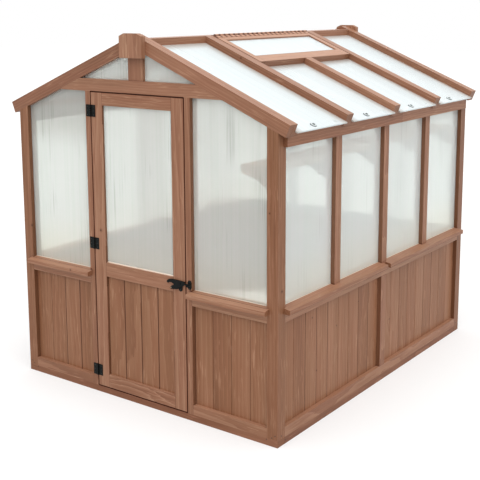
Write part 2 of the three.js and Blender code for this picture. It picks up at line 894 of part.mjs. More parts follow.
function bracketOutline(wall, under) {
  const reach = shelfDepth - bracketInset;
  const curve = bracketShares.map(([across, down]) => [wall - reach * (1 - across), under - bracketDrop * down]);
  return [[wall, under + shelfThick / 2], [wall - reach, under + shelfThick / 2], ...curve];
}

function shelf() {
  const wall = sideBack - glazingThick;
  const under = shelfTop - shelfThick;
  const end = gableInner - shelfEndGap;
  const board = box(wall - shelfDepth, wall - shelfStandoff, -end, end, under, shelfTop);
  const places = [-end + bracketThick / 2, -mullionPlace, 0, mullionPlace, end - bracketThick / 2];
  const brackets = places.map((y) =>
    alongY(bracketOutline(wall, under), y - bracketThick / 2, y + bracketThick / 2),
  );
  return joined([board, ...brackets]);
}

// The assembly

addPiece("base_frame", baseFrame(), frameWood);
for (const [end, endName] of [[-1, "front"], [1, "back"]]) {
  addPiece(`corner_post_${endName}_left`, cornerPost(-1, end), frameWood);
  addPiece(`corner_post_${endName}_right`, cornerPost(1, end), frameWood);
  addPiece(`${endName}_truss`, truss(end), frameWood);
  addPiece(`${endName}_glazing`, gableGlazing(end), wallGlazing);
}
for (const [side, name] of [[-1, "left"], [1, "right"]]) {
  const inner = doorwayHalf + stopSeat;
  const joints = jointPlaces(side * jambOuter, side * sideInner, frontBoardCount);
  const boards = gableBoards(side * inner, side * sideInner, -gableBack, 1, joints);
  addPiece(`front_wall_frame_${name}`, frontFrame(side), frameWood);
  addPiece(`front_boards_${name}`, boards, boardWood);
  addPiece(`${name}_wall_frame`, sideFrame(side), frameWood);
  addPiece(`${name}_boards`, sideBoards(side), boardWood);
  addPiece(`${name}_glazing`, sideGlazing(side), wallGlazing);
}
const backJoints = [-1, 1].flatMap((side) =>
  jointPlaces((side * middlePostWidth) / 2, side * sideInner, backBoardCount),
);
addPiece("back_wall_frame", backFrame(), frameWood);
addPiece("back_boards", gableBoards(-sideInner, sideInner, gableBack, -1, backJoints), boardWood);
addRoof();

const vent = new THREE.Group();
greenhouse.add(vent);
addPiece("vent_trimmer", ventTrimmer(), roofWood);
addPiece("vent_hinge_ridge_leaf", ventHingeLeaf(false), blackIron);
addPiece("vent_hinge_vent_leaf", ventHingeLeaf(true), blackIron, vent);
addPiece("vent_frame", ventFrame(), roofWood, vent);
addPiece("vent_glazing", ventPane(), roofGlazing, vent);

const door = new THREE.Group();
greenhouse.add(door);
addPiece("door_frame", doorFrame(), frameWood, door);
addPiece("door_boards", doorBoards(), boardWood, door);
addPiece("door_glazing", doorInfill(doorGlassFoot, doorGlassTop, glazingThick), wallGlazing, door);
hingeCentres.forEach((centre, i) => {
  addPiece(`door_hinge_jamb_leaf_${i + 1}`, doorHinge(centre, false), blackIron);
  addPiece(`door_hinge_door_leaf_${i + 1}`, doorHinge(centre, true), blackIron, door);
});
addPiece("latch_plate", latchPlate(), blackIron, door);
addPiece("latch_lever", latchLever(), blackIron, door);
addPiece("latch_catch", latchCatch(), blackIron);
addPiece("shelf", shelf(), frameWood);

export default greenhouse;
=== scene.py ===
import math

import bmesh
import bpy
from mathutils import Matrix, Vector


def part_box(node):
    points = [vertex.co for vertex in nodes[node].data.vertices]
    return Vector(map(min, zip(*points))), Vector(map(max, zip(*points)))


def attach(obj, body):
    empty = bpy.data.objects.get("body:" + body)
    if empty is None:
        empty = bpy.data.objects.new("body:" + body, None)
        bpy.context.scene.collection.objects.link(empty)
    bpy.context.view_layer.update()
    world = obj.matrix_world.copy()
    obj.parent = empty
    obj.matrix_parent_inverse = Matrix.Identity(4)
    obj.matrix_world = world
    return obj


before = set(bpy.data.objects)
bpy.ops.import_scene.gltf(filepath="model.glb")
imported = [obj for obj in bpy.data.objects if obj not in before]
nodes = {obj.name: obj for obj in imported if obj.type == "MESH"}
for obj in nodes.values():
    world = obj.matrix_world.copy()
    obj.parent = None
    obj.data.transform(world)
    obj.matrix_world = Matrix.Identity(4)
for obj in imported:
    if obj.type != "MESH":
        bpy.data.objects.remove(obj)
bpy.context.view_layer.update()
print("frame loaded:", len(nodes), "nodes")

bothSides = (("left", -1), ("right", 1))


def toLinear(red, green, blue):
    # 0-255 screen colour to the linear colour that sockets take
    def channel(value):
        value /= 255
        return value / 12.92 if value <= 0.04045 else ((value + 0.055) / 1.055) ** 2.4
    return (channel(red), channel(green), channel(blue), 1.0)


view = {
    "eye": (3.72113, -5.25082, 2.39798),
    "yaw": 36.30,  # degrees round from the front
    "pitch": 9.75,  # degrees down
    "roll": -0.22,
    "lens": 71.36,
    "sensor": 36,
    "shiftY": -0.15,
    "clipEnd": 200,
}


def makeCamera():
    yaw, pitch, roll = (math.radians(view[key]) for key in ("yaw", "pitch", "roll"))
    forward = Vector((-math.sin(yaw) * math.cos(pitch), math.cos(yaw) * math.cos(pitch), -math.sin(pitch)))
    right = Vector((math.cos(yaw), math.sin(yaw), 0))
    upward = right.cross(forward)
    tiltedRight = right * math.cos(roll) + upward * math.sin(roll)
    tiltedUp = upward * math.cos(roll) - right * math.sin(roll)
    data = bpy.data.cameras.new("camera")
    data.sensor_width = view["sensor"]
    data.lens = view["lens"]
    data.shift_y = view["shiftY"]
    data.clip_end = view["clipEnd"]
    camera = bpy.data.objects.new("camera", data)
    turn = Matrix((tiltedRight, tiltedUp, -forward)).transposed().to_4x4()
    camera.matrix_world = Matrix.Translation(view["eye"]) @ turn
    bpy.context.scene.collection.objects.link(camera)
    bpy.context.scene.camera = camera


makeCamera()
bpy.context.scene.view_settings.view_transform = "Standard"


# what every material is built with: value or link into a socket, sums, masks and mixes
def feed(tree, socket, value):
    if isinstance(value, bpy.types.NodeSocket):
        tree.links.new(value, socket)
    else:
        socket.default_value = value


def addNode(tree, kind, inputs=None, **settings):
    made = tree.nodes.new("ShaderNode" + kind)
    for name, value in settings.items():
        setattr(made, name, value)
    for name, value in (inputs or {}).items():
        feed(tree, made.inputs[name], value)
    return made


def compute(tree, operation, *values, clamp=False):
    made = addNode(tree, "Math", dict(enumerate(values)), operation=operation, use_clamp=clamp)
    return made.outputs[0]


def plus(tree, first, second):
    return compute(tree, "ADD", first, second)


def minus(tree, first, second):
    return compute(tree, "SUBTRACT", first, second)


def times(tree, first, second):
    return compute(tree, "MULTIPLY", first, second)


def soften(tree, value, low, high, outLow=0.0, outHigh=1.0):
    made = addNode(tree, "MapRange", {"Value": value, "From Min": low, "From Max": high,
                                      "To Min": outLow, "To Max": outHigh}, interpolation_type="SMOOTHSTEP")
    return made.outputs[0]


mixSockets = {"RGBA": (6, 7, 2), "VECTOR": (4, 5, 1), "FLOAT": (2, 3, 0)}  # two inputs and the output


def mix(tree, kind, factor, first, second, blend="MIX"):
    made = addNode(tree, "Mix", data_type=kind, blend_type=blend)
    firstPlace, secondPlace, result = mixSockets[kind]
    feed(tree, made.inputs[0], factor)
    feed(tree, made.inputs[firstPlace], first)
    feed(tree, made.inputs[secondPlace], second)
    return made.outputs[result]


def painted(tree, colour, share, tone):
    # the colour with a 0-255 tone laid over it
    return mix(tree, "RGBA", share, colour, toLinear(*tone))


def combine(tree, x, y, z):
    return addNode(tree, "CombineXYZ", {0: x, 1: y, 2: z}).outputs[0]


def stretched(tree, vector, scale):
    return addNode(tree, "VectorMath", {0: vector, 1: scale}, operation="MULTIPLY").outputs[0]


def shifted(tree, vector, amount, scale):
    return addNode(tree, "VectorMath", {0: amount, 1: scale, 2: vector}, operation="MULTIPLY_ADD").outputs[0]


def distance(tree, first, second):
    return addNode(tree, "VectorMath", {0: first, 1: second}, operation="DISTANCE").outputs["Value"]


def noise(tree, vector, scale, detail=2.0, rough=0.5):
    made = addNode(tree, "TexNoise", {"Vector": vector, "Scale": scale, "Detail": detail, "Roughness": rough})
    return made.outputs["Fac"]


def chance(tree, number):
    # a number and a colour drawn from a whole or broken number
    return addNode(tree, "TexWhiteNoise", {"W": number}, noise_dimensions="1D").outputs


def blankMaterial(name):
    material = bpy.data.materials.new(name)
    material.use_nodes = True
    material.node_tree.nodes.clear()
    return material, material.node_tree


def coatWith(tree, inputs):
    surface = addNode(tree, "BsdfPrincipled", inputs)
    addNode(tree, "OutputMaterial", {"Surface": surface.outputs[0]})


studio = {
    "ambient": 0.60,  # what the surroundings give to dull surfaces
    "keyStrength": 2.1,
    "keyFrom": (0.36, -0.36, 0.86),
    "keySoftness": 90,  # degrees across
    "fillStrength": 0.30,
    "fillFrom": (-0.6, 0.4, 0.7),
    "fillSoftness": 90,
    "floorGrey": 0.62,
    "floorDust": (0.985, 0.985, 0.98),  # share of the grey where dust lies
    "dustScale": 3.0,
    "floorGlow": 0.39,
    "floorSize": 80,
    "floorDrop": 0.0004,  # below the part's foot
}


def seenDirectly(tree):
    # 1 for the camera and for what gloss and glass show
    path = addNode(tree, "LightPath")
    seen = compute(tree, "MAXIMUM", path.outputs["Is Camera Ray"], path.outputs["Is Glossy Ray"])
    return compute(tree, "MAXIMUM", seen, path.outputs["Is Transmission Ray"])


def makeWorld():
    world = bpy.data.worlds.new("studio")
    bpy.context.scene.world = world
    world.use_nodes = True
    tree = world.node_tree
    tree.nodes.clear()
    dull = addNode(tree, "Background", {"Color": (1, 1, 1, 1), "Strength": studio["ambient"]})
    white = addNode(tree, "Background", {"Color": (1, 1, 1, 1), "Strength": 1.0})
    mixed = addNode(tree, "MixShader", {0: seenDirectly(tree), 1: dull.outputs[0], 2: white.outputs[0]})
    addNode(tree, "OutputWorld", {"Surface": mixed.outputs[0]})


def makeLamps():
    for name in ("key", "fill"):
        data = bpy.data.lights.new(name, "SUN")
        data.energy = studio[name + "Strength"]
        data.angle = math.radians(studio[name + "Softness"])
        lamp = bpy.data.objects.new(name, data)
        lamp.rotation_euler = Vector(studio[name + "From"]).to_track_quat("Z", "Y").to_euler()
        bpy.context.scene.collection.objects.link(lamp)


def makeFloor():
    material, tree = blankMaterial("paleFloor")
    grey = studio["floorGrey"]
    dusty = (*(grey * share for share in studio["floorDust"]), 1)
    dust = noise(tree, addNode(tree, "TexCoord").outputs["Object"], studio["dustScale"])
    matt = addNode(tree, "BsdfDiffuse", {"Color": mix(tree, "RGBA", dust, (grey, grey, grey, 1), dusty)})
    strength = times(tree, seenDirectly(tree), studio["floorGlow"])
    glow = addNode(tree, "Emission", {"Color": (1, 1, 1, 1), "Strength": strength})
    both = addNode(tree, "AddShader", {0: matt.outputs[0], 1: glow.outputs[0]})
    addNode(tree, "OutputMaterial", {"Surface": both.outputs[0]})

    mesh = bpy.data.meshes.new("floor")
    half = studio["floorSize"] / 2
    corners = [(-half, -half, 0), (half, -half, 0), (half, half, 0), (-half, half, 0)]
    mesh.from_pydata(corners, [], [(0, 1, 2, 3)])
    mesh.materials.append(material)
    floor = bpy.data.objects.new("floor", mesh)
    floor.location.z = -studio["floorDrop"]
    bpy.context.scene.collection.objects.link(floor)


makeWorld()
makeLamps()
makeFloor()
print("camera, lights and floor ready")


# shader groups that several materials share
def startGroup(name, inputs, outputs):
    group = bpy.data.node_groups.new(name, "ShaderNodeTree")
    for socketName, kind, value in inputs:
        socket = group.interface.new_socket(name=socketName, in_out="INPUT", socket_type="NodeSocket" + kind)
        if value is not None:
            socket.default_value = value
    for socketName, kind in outputs:
        group.interface.new_socket(name=socketName, in_out="OUTPUT", socket_type="NodeSocket" + kind)
    given = group.nodes.new("NodeGroupInput").outputs
    wanted = group.nodes.new("NodeGroupOutput").inputs
    return group, given, wanted


def useGroup(tree, group, inputs):
    made = tree.nodes.new("ShaderNodeGroup")
    made.node_tree = group
    for name, value in inputs.items():
        feed(tree, made.inputs[name], value)
    return made.outputs


# noise: scale, detail, roughness. along: squeeze of the pattern's length, so less is longer
# between: where the mask starts and where it ends, then its value at each where that isn't 0 and 1
fibres = {
    "drift": {"along": 0.10, "noise": (11.0, 2.0, 0.5), "share": 0.9},  # slow change of tone
    "bend": {"along": 0.3, "noise": (6.0, 2.0, 0.5)},
    "wide": {"along": 0.045, "noise": (62.0, 3.0, 0.55), "share": 1.6},
    "fine": {"along": 0.022, "noise": (260.0, 3.0, 0.6), "share": 1.1},
    "hair": {"along": 0.03, "noise": (900.0, 2.0, 0.6)},
    "fleck": {"along": 0.055, "noise": (150.0, 2.0, 0.5), "share": 0.70, "between": (0.57, 0.68)},
    "patch": {"along": 0.25, "noise": (13.0, 2.0, 0.5), "between": (0.42, 0.62, 0.25, 1.0)},
    "thread": {"along": 0.018, "noise": (150.0, 2.0, 0.4), "share": 0.5, "between": (0.63, 0.72)},
    "hue": {"along": 0.12, "noise": (12.0, 2.0, 0.5), "between": (0.36, 0.64)},
}
growthRings = {
    "apart": (0.09, 0.07, 0.9),  # how far the piths of two pieces lie apart
    "squeeze": (1, 1, 0.075),
    "bend": (0.05, 0.03, 0.06),
    "scale": 21.0,
    "warp": 2.4,
    "detail": 2.0,
    "detailScale": 1.3,
    "detailRough": 0.55,
    "middle": 0.42,
    "crest": (0.70, 0.95),
    "crestShare": 0.55,
}
stain = {
    "middle": 0.5,  # of a noise
    "apart": (3.1, 2.3, 5.7),  # how far the patterns of two pieces lie apart
    "redder": (1.012, 0.990, 0.986, 1),
    "greener": (0.990, 1.008, 0.996, 1),
    "roughness": {"fine": 0.16, "wide": 0.14},
    "height": {"fine": 0.6, "hair": 0.35, "thread": 0.5},
}


def fibre(group, place, kind):
    look = fibres[kind]
    pattern = noise(group, stretched(group, place, (1, 1, look["along"])), *look["noise"])
    return soften(group, pattern, *look["between"]) if "between" in look else pattern


def ringPattern(group, pith, bend, scale):
    # growth rings cut lengthways, which make the long arcs
    bends = combine(group, *(times(group, bend, reach) for reach in growthRings["bend"]))
    squeezed = stretched(group, pith, growthRings["squeeze"])
    bent = addNode(group, "VectorMath", {0: squeezed, 1: bends}, operation="ADD").outputs[0]
    made = addNode(group, "TexWave", {
        "Vector": bent, "Scale": scale, "Distortion": growthRings["warp"], "Detail": growthRings["detail"],
        "Detail Scale": growthRings["detailScale"], "Detail Roughness": growthRings["detailRough"]},
        wave_type="RINGS", rings_direction="SPHERICAL", wave_profile="SAW")
    return made.outputs["Fac"]


def makeTimberGroup():
    # Grain position: x and y across the piece, z along it, in metres
    group, given, wanted = startGroup(
        "stainedTimber",
        [("Grain Position", "Vector", None), ("Piece", "Float", 0.0), ("Base", "Color", None),
         ("Dark", "Color", None), ("Pale", "Color", None), ("Figure", "Float", 0.4),
         ("Streaks", "Float", 0.5), ("Tone Spread", "Float", 0.5), ("Lift", "Float", 0.0),
         ("Ring Scale", "Float", growthRings["scale"])],
        [("Color", "Color"), ("Roughness", "Float"), ("Height", "Float")])
    dice = chance(group, given["Piece"])
    own = shifted(group, given["Grain Position"], dice["Color"], stain["apart"])
    pith = shifted(group, given["Grain Position"], dice["Color"], growthRings["apart"])
    pattern = {kind: fibre(group, own, kind) for kind in fibres}
    rings = ringPattern(group, pith, pattern["bend"], given["Ring Scale"])
    crest = times(group, soften(group, rings, *growthRings["crest"]), given["Figure"])

    middle = stain["middle"]
    depth = times(group, minus(group, dice["Value"], middle), given["Tone Spread"])
    drift = times(group, minus(group, pattern["drift"], middle), fibres["drift"]["share"])
    depth = plus(group, depth, drift)
    for kind in ("wide", "fine"):
        strength = times(group, given["Streaks"], fibres[kind]["share"])
        depth = plus(group, depth, times(group, minus(group, pattern[kind], middle), strength))
    depth = plus(group, depth, times(group, minus(group, rings, growthRings["middle"]), given["Figure"]))
    depth = plus(group, depth, given["Lift"])

    lighter, darker = (compute(group, "MULTIPLY", depth, way, clamp=True) for way in (1.0, -1.0))
    tone = mix(group, "RGBA", lighter, given["Base"], given["Pale"])
    tone = mix(group, "RGBA", darker, tone, given["Dark"])
    crests = compute(group, "MULTIPLY", crest, growthRings["crestShare"], clamp=True)
    tone = mix(group, "RGBA", crests, tone, given["Pale"])
    # short pale flecks and thin dark lines
    flecks = times(group, times(group, pattern["fleck"], pattern["patch"]), fibres["fleck"]["share"])
    tone = mix(group, "RGBA", flecks, tone, given["Pale"])
    threads = times(group, pattern["thread"], times(group, given["Streaks"], fibres["thread"]["share"]))
    tone = mix(group, "RGBA", threads, tone, given["Dark"])
    # the stain turns redder or more olive in long bands
    tint = mix(group, "RGBA", pattern["hue"], stain["redder"], stain["greener"])
    group.links.new(mix(group, "RGBA", 1.0, tone, tint, "MULTIPLY"), wanted["Color"])

    shares = stain["roughness"]
    roughness = plus(group, times(group, pattern["fine"], shares["fine"]),
                     times(group, pattern["wide"], shares["wide"]))
    group.links.new(roughness, wanted["Roughness"])
    shares = stain["height"]
    height = plus(group, times(group, pattern["fine"], shares["fine"]),
                  times(group, pattern["hair"], shares["hair"]))
    height = minus(group, height, times(group, pattern["thread"], shares["thread"]))
    group.links.new(height, wanted["Height"])
    return group


memberRun = {"line": 0.0016, "slack": 0.00005}  # metres outside the box


def makeRunGroup():
    # 1 inside a box, and a thin line just outside its faces where another member butts on it
    group, given, wanted = startGroup(
        "memberRun", [("Position", "Vector", None), ("Low", "Vector", None), ("High", "Vector", None),
                      ("Line", "Float", memberRun["line"])],
        [("Inside", "Float"), ("Joint", "Float")])
    held = given["Position"]
    for limit, operation in (("Low", "MAXIMUM"), ("High", "MINIMUM")):
        held = addNode(group, "VectorMath", {0: held, 1: given[limit]}, operation=operation).outputs[0]
    away = distance(group, held, given["Position"])
    inside = compute(group, "LESS_THAN", away, memberRun["slack"])
    near = compute(group, "LESS_THAN", away, given["Line"])
    group.links.new(inside, wanted["Inside"])
    group.links.new(compute(group, "SUBTRACT", near, inside, clamp=True), wanted["Joint"])
    return group


knot = {"radius": 0.006, "wobble": 0.005, "wobbleScale": 130.0, "core": (0.6, 1.15), "halo": (1.0, 2.6)}


def makeKnotGroup():
    group, given, wanted = startGroup(
        "knot", [("Position", "Vector", None), ("Centre", "Vector", None),
                 ("Radius", "Float", knot["radius"])],
        [("Core", "Float"), ("Halo", "Float")])
    wobble = addNode(group, "TexNoise", {"Vector": given["Position"], "Scale": knot["wobbleScale"],
                                         "Detail": 2.0})
    moved = shifted(group, given["Position"], wobble.outputs["Color"], (knot["wobble"],) * 3)
    centre = addNode(group, "VectorMath", {0: given["Centre"], 1: (knot["wobble"] / 2,) * 3}, operation="ADD")
    share = compute(group, "DIVIDE", distance(group, moved, centre.outputs[0]), given["Radius"])
    group.links.new(soften(group, share, *knot["core"], 1.0, 0.0), wanted["Core"])
    group.links.new(soften(group, share, *knot["halo"], 1.0, 0.0), wanted["Halo"])
    return group


arris = {"radius": 0.002, "samples": 4, "turned": (0.80, 0.995), "patch": (24.0, 3.0, 0.6),
         "patches": (0.40, 0.62)}


def makeWearAndHighlightGroup():
    # rounded arrises: paler, partly where stain rubs thin and partly a painted highlight along the edge
    group, given, wanted = startGroup(
        "edgeWearAndHighlight", [("Radius", "Float", arris["radius"]), ("Position", "Vector", None)],
        [("WearAndHighlight", "Float"), ("Normal", "Vector")])
    rounded = addNode(group, "Bevel", {"Radius": given["Radius"]}, samples=arris["samples"]).outputs[0]
    flat = addNode(group, "NewGeometry").outputs["Normal"]
    level = addNode(group, "VectorMath", {0: rounded, 1: flat}, operation="DOT_PRODUCT").outputs["Value"]
    turned = soften(group, level, *arris["turned"], 1.0, 0.0)
    patch = soften(group, noise(group, given["Position"], *arris["patch"]), *arris["patches"])
    group.links.new(times(group, turned, patch), wanted["WearAndHighlight"])
    group.links.new(rounded, wanted["Normal"])
    return group


# noises as (scale, detail, roughness)
plasticSheet = {
    "pitch": 0.01,
    "web": 0.16,  # half width of a web's mark, as a share of the pitch
    "streakSqueeze": 0.010,
    "streak": (52.0, 3.0, 0.6),
    "cloudSqueeze": 0.35,
    "cloud": (2.4, 2.0, 0.5),
    "line": (95.0, 2.0, 0.5),
    "lineBetween": (0.53, 0.62),
    "bunch": (5.5, 2.0, 0.5),  # stretches in which the lines lie
    "bunchBetween": (0.50, 0.66),
    "ribHeight": 0.5,
    "streakHeight": 0.8,
}


def makeSheetGroup():
    # multiwall plastic: webs across, long hazy streaks down, ribs that spread light sideways
    group, given, wanted = startGroup(
        "ribbedSheet", [("Across", "Float", 0.0), ("Along", "Float", 0.0),
                        ("Pitch", "Float", plasticSheet["pitch"])],
        [("Web", "Float"), ("Streak", "Float"), ("Line", "Float"), ("Cloud", "Float"), ("Height", "Float")])
    turns = compute(group, "DIVIDE", given["Across"], given["Pitch"])
    web = soften(group, compute(group, "PINGPONG", turns, 0.5), 0.0, plasticSheet["web"], 1.0, 0.0)
    spot, cloudSpot = (combine(group, given["Across"], times(group, given["Along"], squeeze), 0.0)
                       for squeeze in (plasticSheet["streakSqueeze"], plasticSheet["cloudSqueeze"]))
    streak = noise(group, spot, *plasticSheet["streak"])
    bunch = soften(group, noise(group, cloudSpot, *plasticSheet["bunch"]), *plasticSheet["bunchBetween"])
    line = soften(group, noise(group, spot, *plasticSheet["line"]), *plasticSheet["lineBetween"])
    rib = compute(group, "SINE", times(group, turns, 4 * math.pi))  # two ribs to a web
    height = plus(group, times(group, rib, plasticSheet["ribHeight"]),
                  times(group, streak, plasticSheet["streakHeight"]))
    group.links.new(web, wanted["Web"])
    group.links.new(streak, wanted["Streak"])
    group.links.new(times(group, line, bunch), wanted["Line"])
    group.links.new(noise(group, cloudSpot, *plasticSheet["cloud"]), wanted["Cloud"])
    group.links.new(height, wanted["Height"])
    return group


timberGroup = makeTimberGroup()
runGroup = makeRunGroup()
knotGroup = makeKnotGroup()
wearAndHighlightGroup = makeWearAndHighlightGroup()
sheetGroup = makeSheetGroup()
print("shader groups built")


timber = {
    "framing": {"base": (149, 103, 78), "dark": (112, 71, 50), "pale": (183, 140, 113),
                "bleachAndTopLight": 0.30, "rough": 0.44},
    "posts": {"base": (136, 91, 64), "dark": (100, 63, 42), "pale": (170, 126, 99),
              "bleachAndTopLight": 0.30, "rough": 0.44},
    "boarding": {"base": (145, 99, 71), "dark": (108, 66, 44), "pale": (182, 138, 110),
                 "bleachAndTopLight": 0.2, "rough": 0.46},
    "gable": {"base": (157, 112, 87), "dark": (120, 78, 57), "pale": (187, 145, 117),
              "bleachAndTopLight": 0.5, "rough": 0.44},
    "roofing": {"base": (150, 104, 80), "dark": (112, 71, 50), "pale": (184, 140, 112),
                "bleachAndTopLight": 0.38, "rough": 0.40},
    "ventWood": {"base": (152, 106, 82), "dark": (114, 73, 52), "pale": (190, 147, 119),
                 "bleachAndTopLight": 0.95, "rough": 0.40},
    "footing": {"base": (134, 88, 64), "dark": (102, 61, 43), "pale": (170, 123, 97),
                "bleachAndTopLight": 0.2, "rough": 0.48},
    "shelving": {"base": (164, 118, 74), "dark": (132, 88, 52), "pale": (190, 150, 108),
                 "bleachAndTopLight": 0.3, "rough": 0.50},
    "bleachedAndLitTop": (192, 146, 119),  # where sun and rain bleach the upward faces, which also take painted light from above
    "bareFibre": (0.30, 0.55, 0.55, 1.0),
    "bleachLitFacing": (0.45, 0.9),
    "endGrain": (126, 82, 54),
    "endFacing": (0.75, 0.95, 0.0, 0.60),
    # painted shade for the faces set back in recesses
    "recess": (100, 64, 42),
    "recessFacing": (0.8, 0.95, 0.0, 0.62),
    "seam": (66, 20, 2),
    "seamShare": 0.92,
    # painted shade inside the gaps between parts
    "gap": (62, 14, 0),
    "gapShare": 0.94,
    "knotCore": (78, 46, 34),
    "knotShares": (0.45, 0.85),  # halo and core
    "wearRadius": 0.0022,
    "wearAndHighlightShare": 0.45,
    "shine": 0.22,
    "roughMiddle": 0.15,  # what the fibres give on the average
    "bumpStrength": 0.55,
    "bumpDepth": 0.0006,
    "slope": math.atan2(5, 12),
}
boardJoint = {
    "line": (0.0022, 0.0038),  # metres from the joint
    "soot": (0.002, 0.010, 0.26, 0.0),  # stain gathers beside it
    "opened": (0.25, 0.75),  # each joint closes up more or less
    "highlightNear": (0.0025, 0.0045),
    "highlightFar": (0.0060, 0.0095),
    "highlightShare": (0.2, 1.0, 0.1, 0.6),
}
# how far apart the pattern numbers of members, boards, halves, joints and runs lie
numberSteps = {"cell": 1.37, "board": 1.73, "half": 0.61, "joint": 37.0, "firstRun": 7.13, "run": 2.9}


def layGrain(tree, place, facing, way):
    # grain position, and how squarely the face cuts the grain
    if way == "up":
        return place, compute(tree, "ABSOLUTE", facing["Z"])
    parts = addNode(tree, "SeparateXYZ", {0: place}).outputs
    if way == "side":
        return combine(tree, parts["Z"], parts["Y"], parts["X"]), compute(tree, "ABSOLUTE", facing["X"])
    if way == "deep":
        return combine(tree, parts["X"], parts["Z"], parts["Y"]), compute(tree, "ABSOLUTE", facing["Y"])
    rise, run = math.sin(timber["slope"]), math.cos(timber["slope"])
    across = compute(tree, "ABSOLUTE", parts["X"])
    down = minus(tree, times(tree, across, run), times(tree, parts["Z"], rise))
    out = plus(tree, times(tree, across, rise), times(tree, parts["Z"], run))
    level = times(tree, compute(tree, "ABSOLUTE", facing["X"]), run)
    return combine(tree, parts["Y"], out, down), minus(tree, level, times(tree, facing["Z"], rise))


def layBoards(tree, place, number, boards, jointShare):
    # each board's pattern number, the dark joints, and a painted highlight along one side of them
    axis, first, pitch = boards
    along, half = addNode(tree, "SeparateXYZ", {0: place}).outputs[axis], 1.0
    if first > 0:  # two runs, which start at the same distance from the middle
        along, half = compute(tree, "ABSOLUTE", along), compute(tree, "SIGN", along)
    steps = compute(tree, "DIVIDE", minus(tree, along, first), pitch)
    number = plus(tree, times(tree, compute(tree, "FLOOR", steps), numberSteps["board"]), number)
    number = plus(tree, number, times(tree, half, numberSteps["half"]))
    edge = times(tree, compute(tree, "PINGPONG", steps, 0.5), pitch)
    past = times(tree, compute(tree, "FRACT", steps), pitch)
    joint = plus(tree, times(tree, half, numberSteps["joint"]), compute(tree, "ROUND", steps))
    opened = chance(tree, joint)["Value"]
    line = soften(tree, edge, *boardJoint["line"], 1.0, 0.0)
    line = compute(tree, "MAXIMUM", line, soften(tree, edge, *boardJoint["soot"]))
    line = times(tree, line, soften(tree, opened, *boardJoint["opened"], *jointShare))
    jointHighlight = times(tree, soften(tree, past, *boardJoint["highlightNear"]),
                   soften(tree, past, *boardJoint["highlightFar"], 1.0, 0.0))
    return number, line, times(tree, jointHighlight, soften(tree, opened, *boardJoint["highlightShare"]))


def boxMask(tree, place, low, high):
    return useGroup(tree, runGroup, {"Position": place, "Low": low, "High": high})


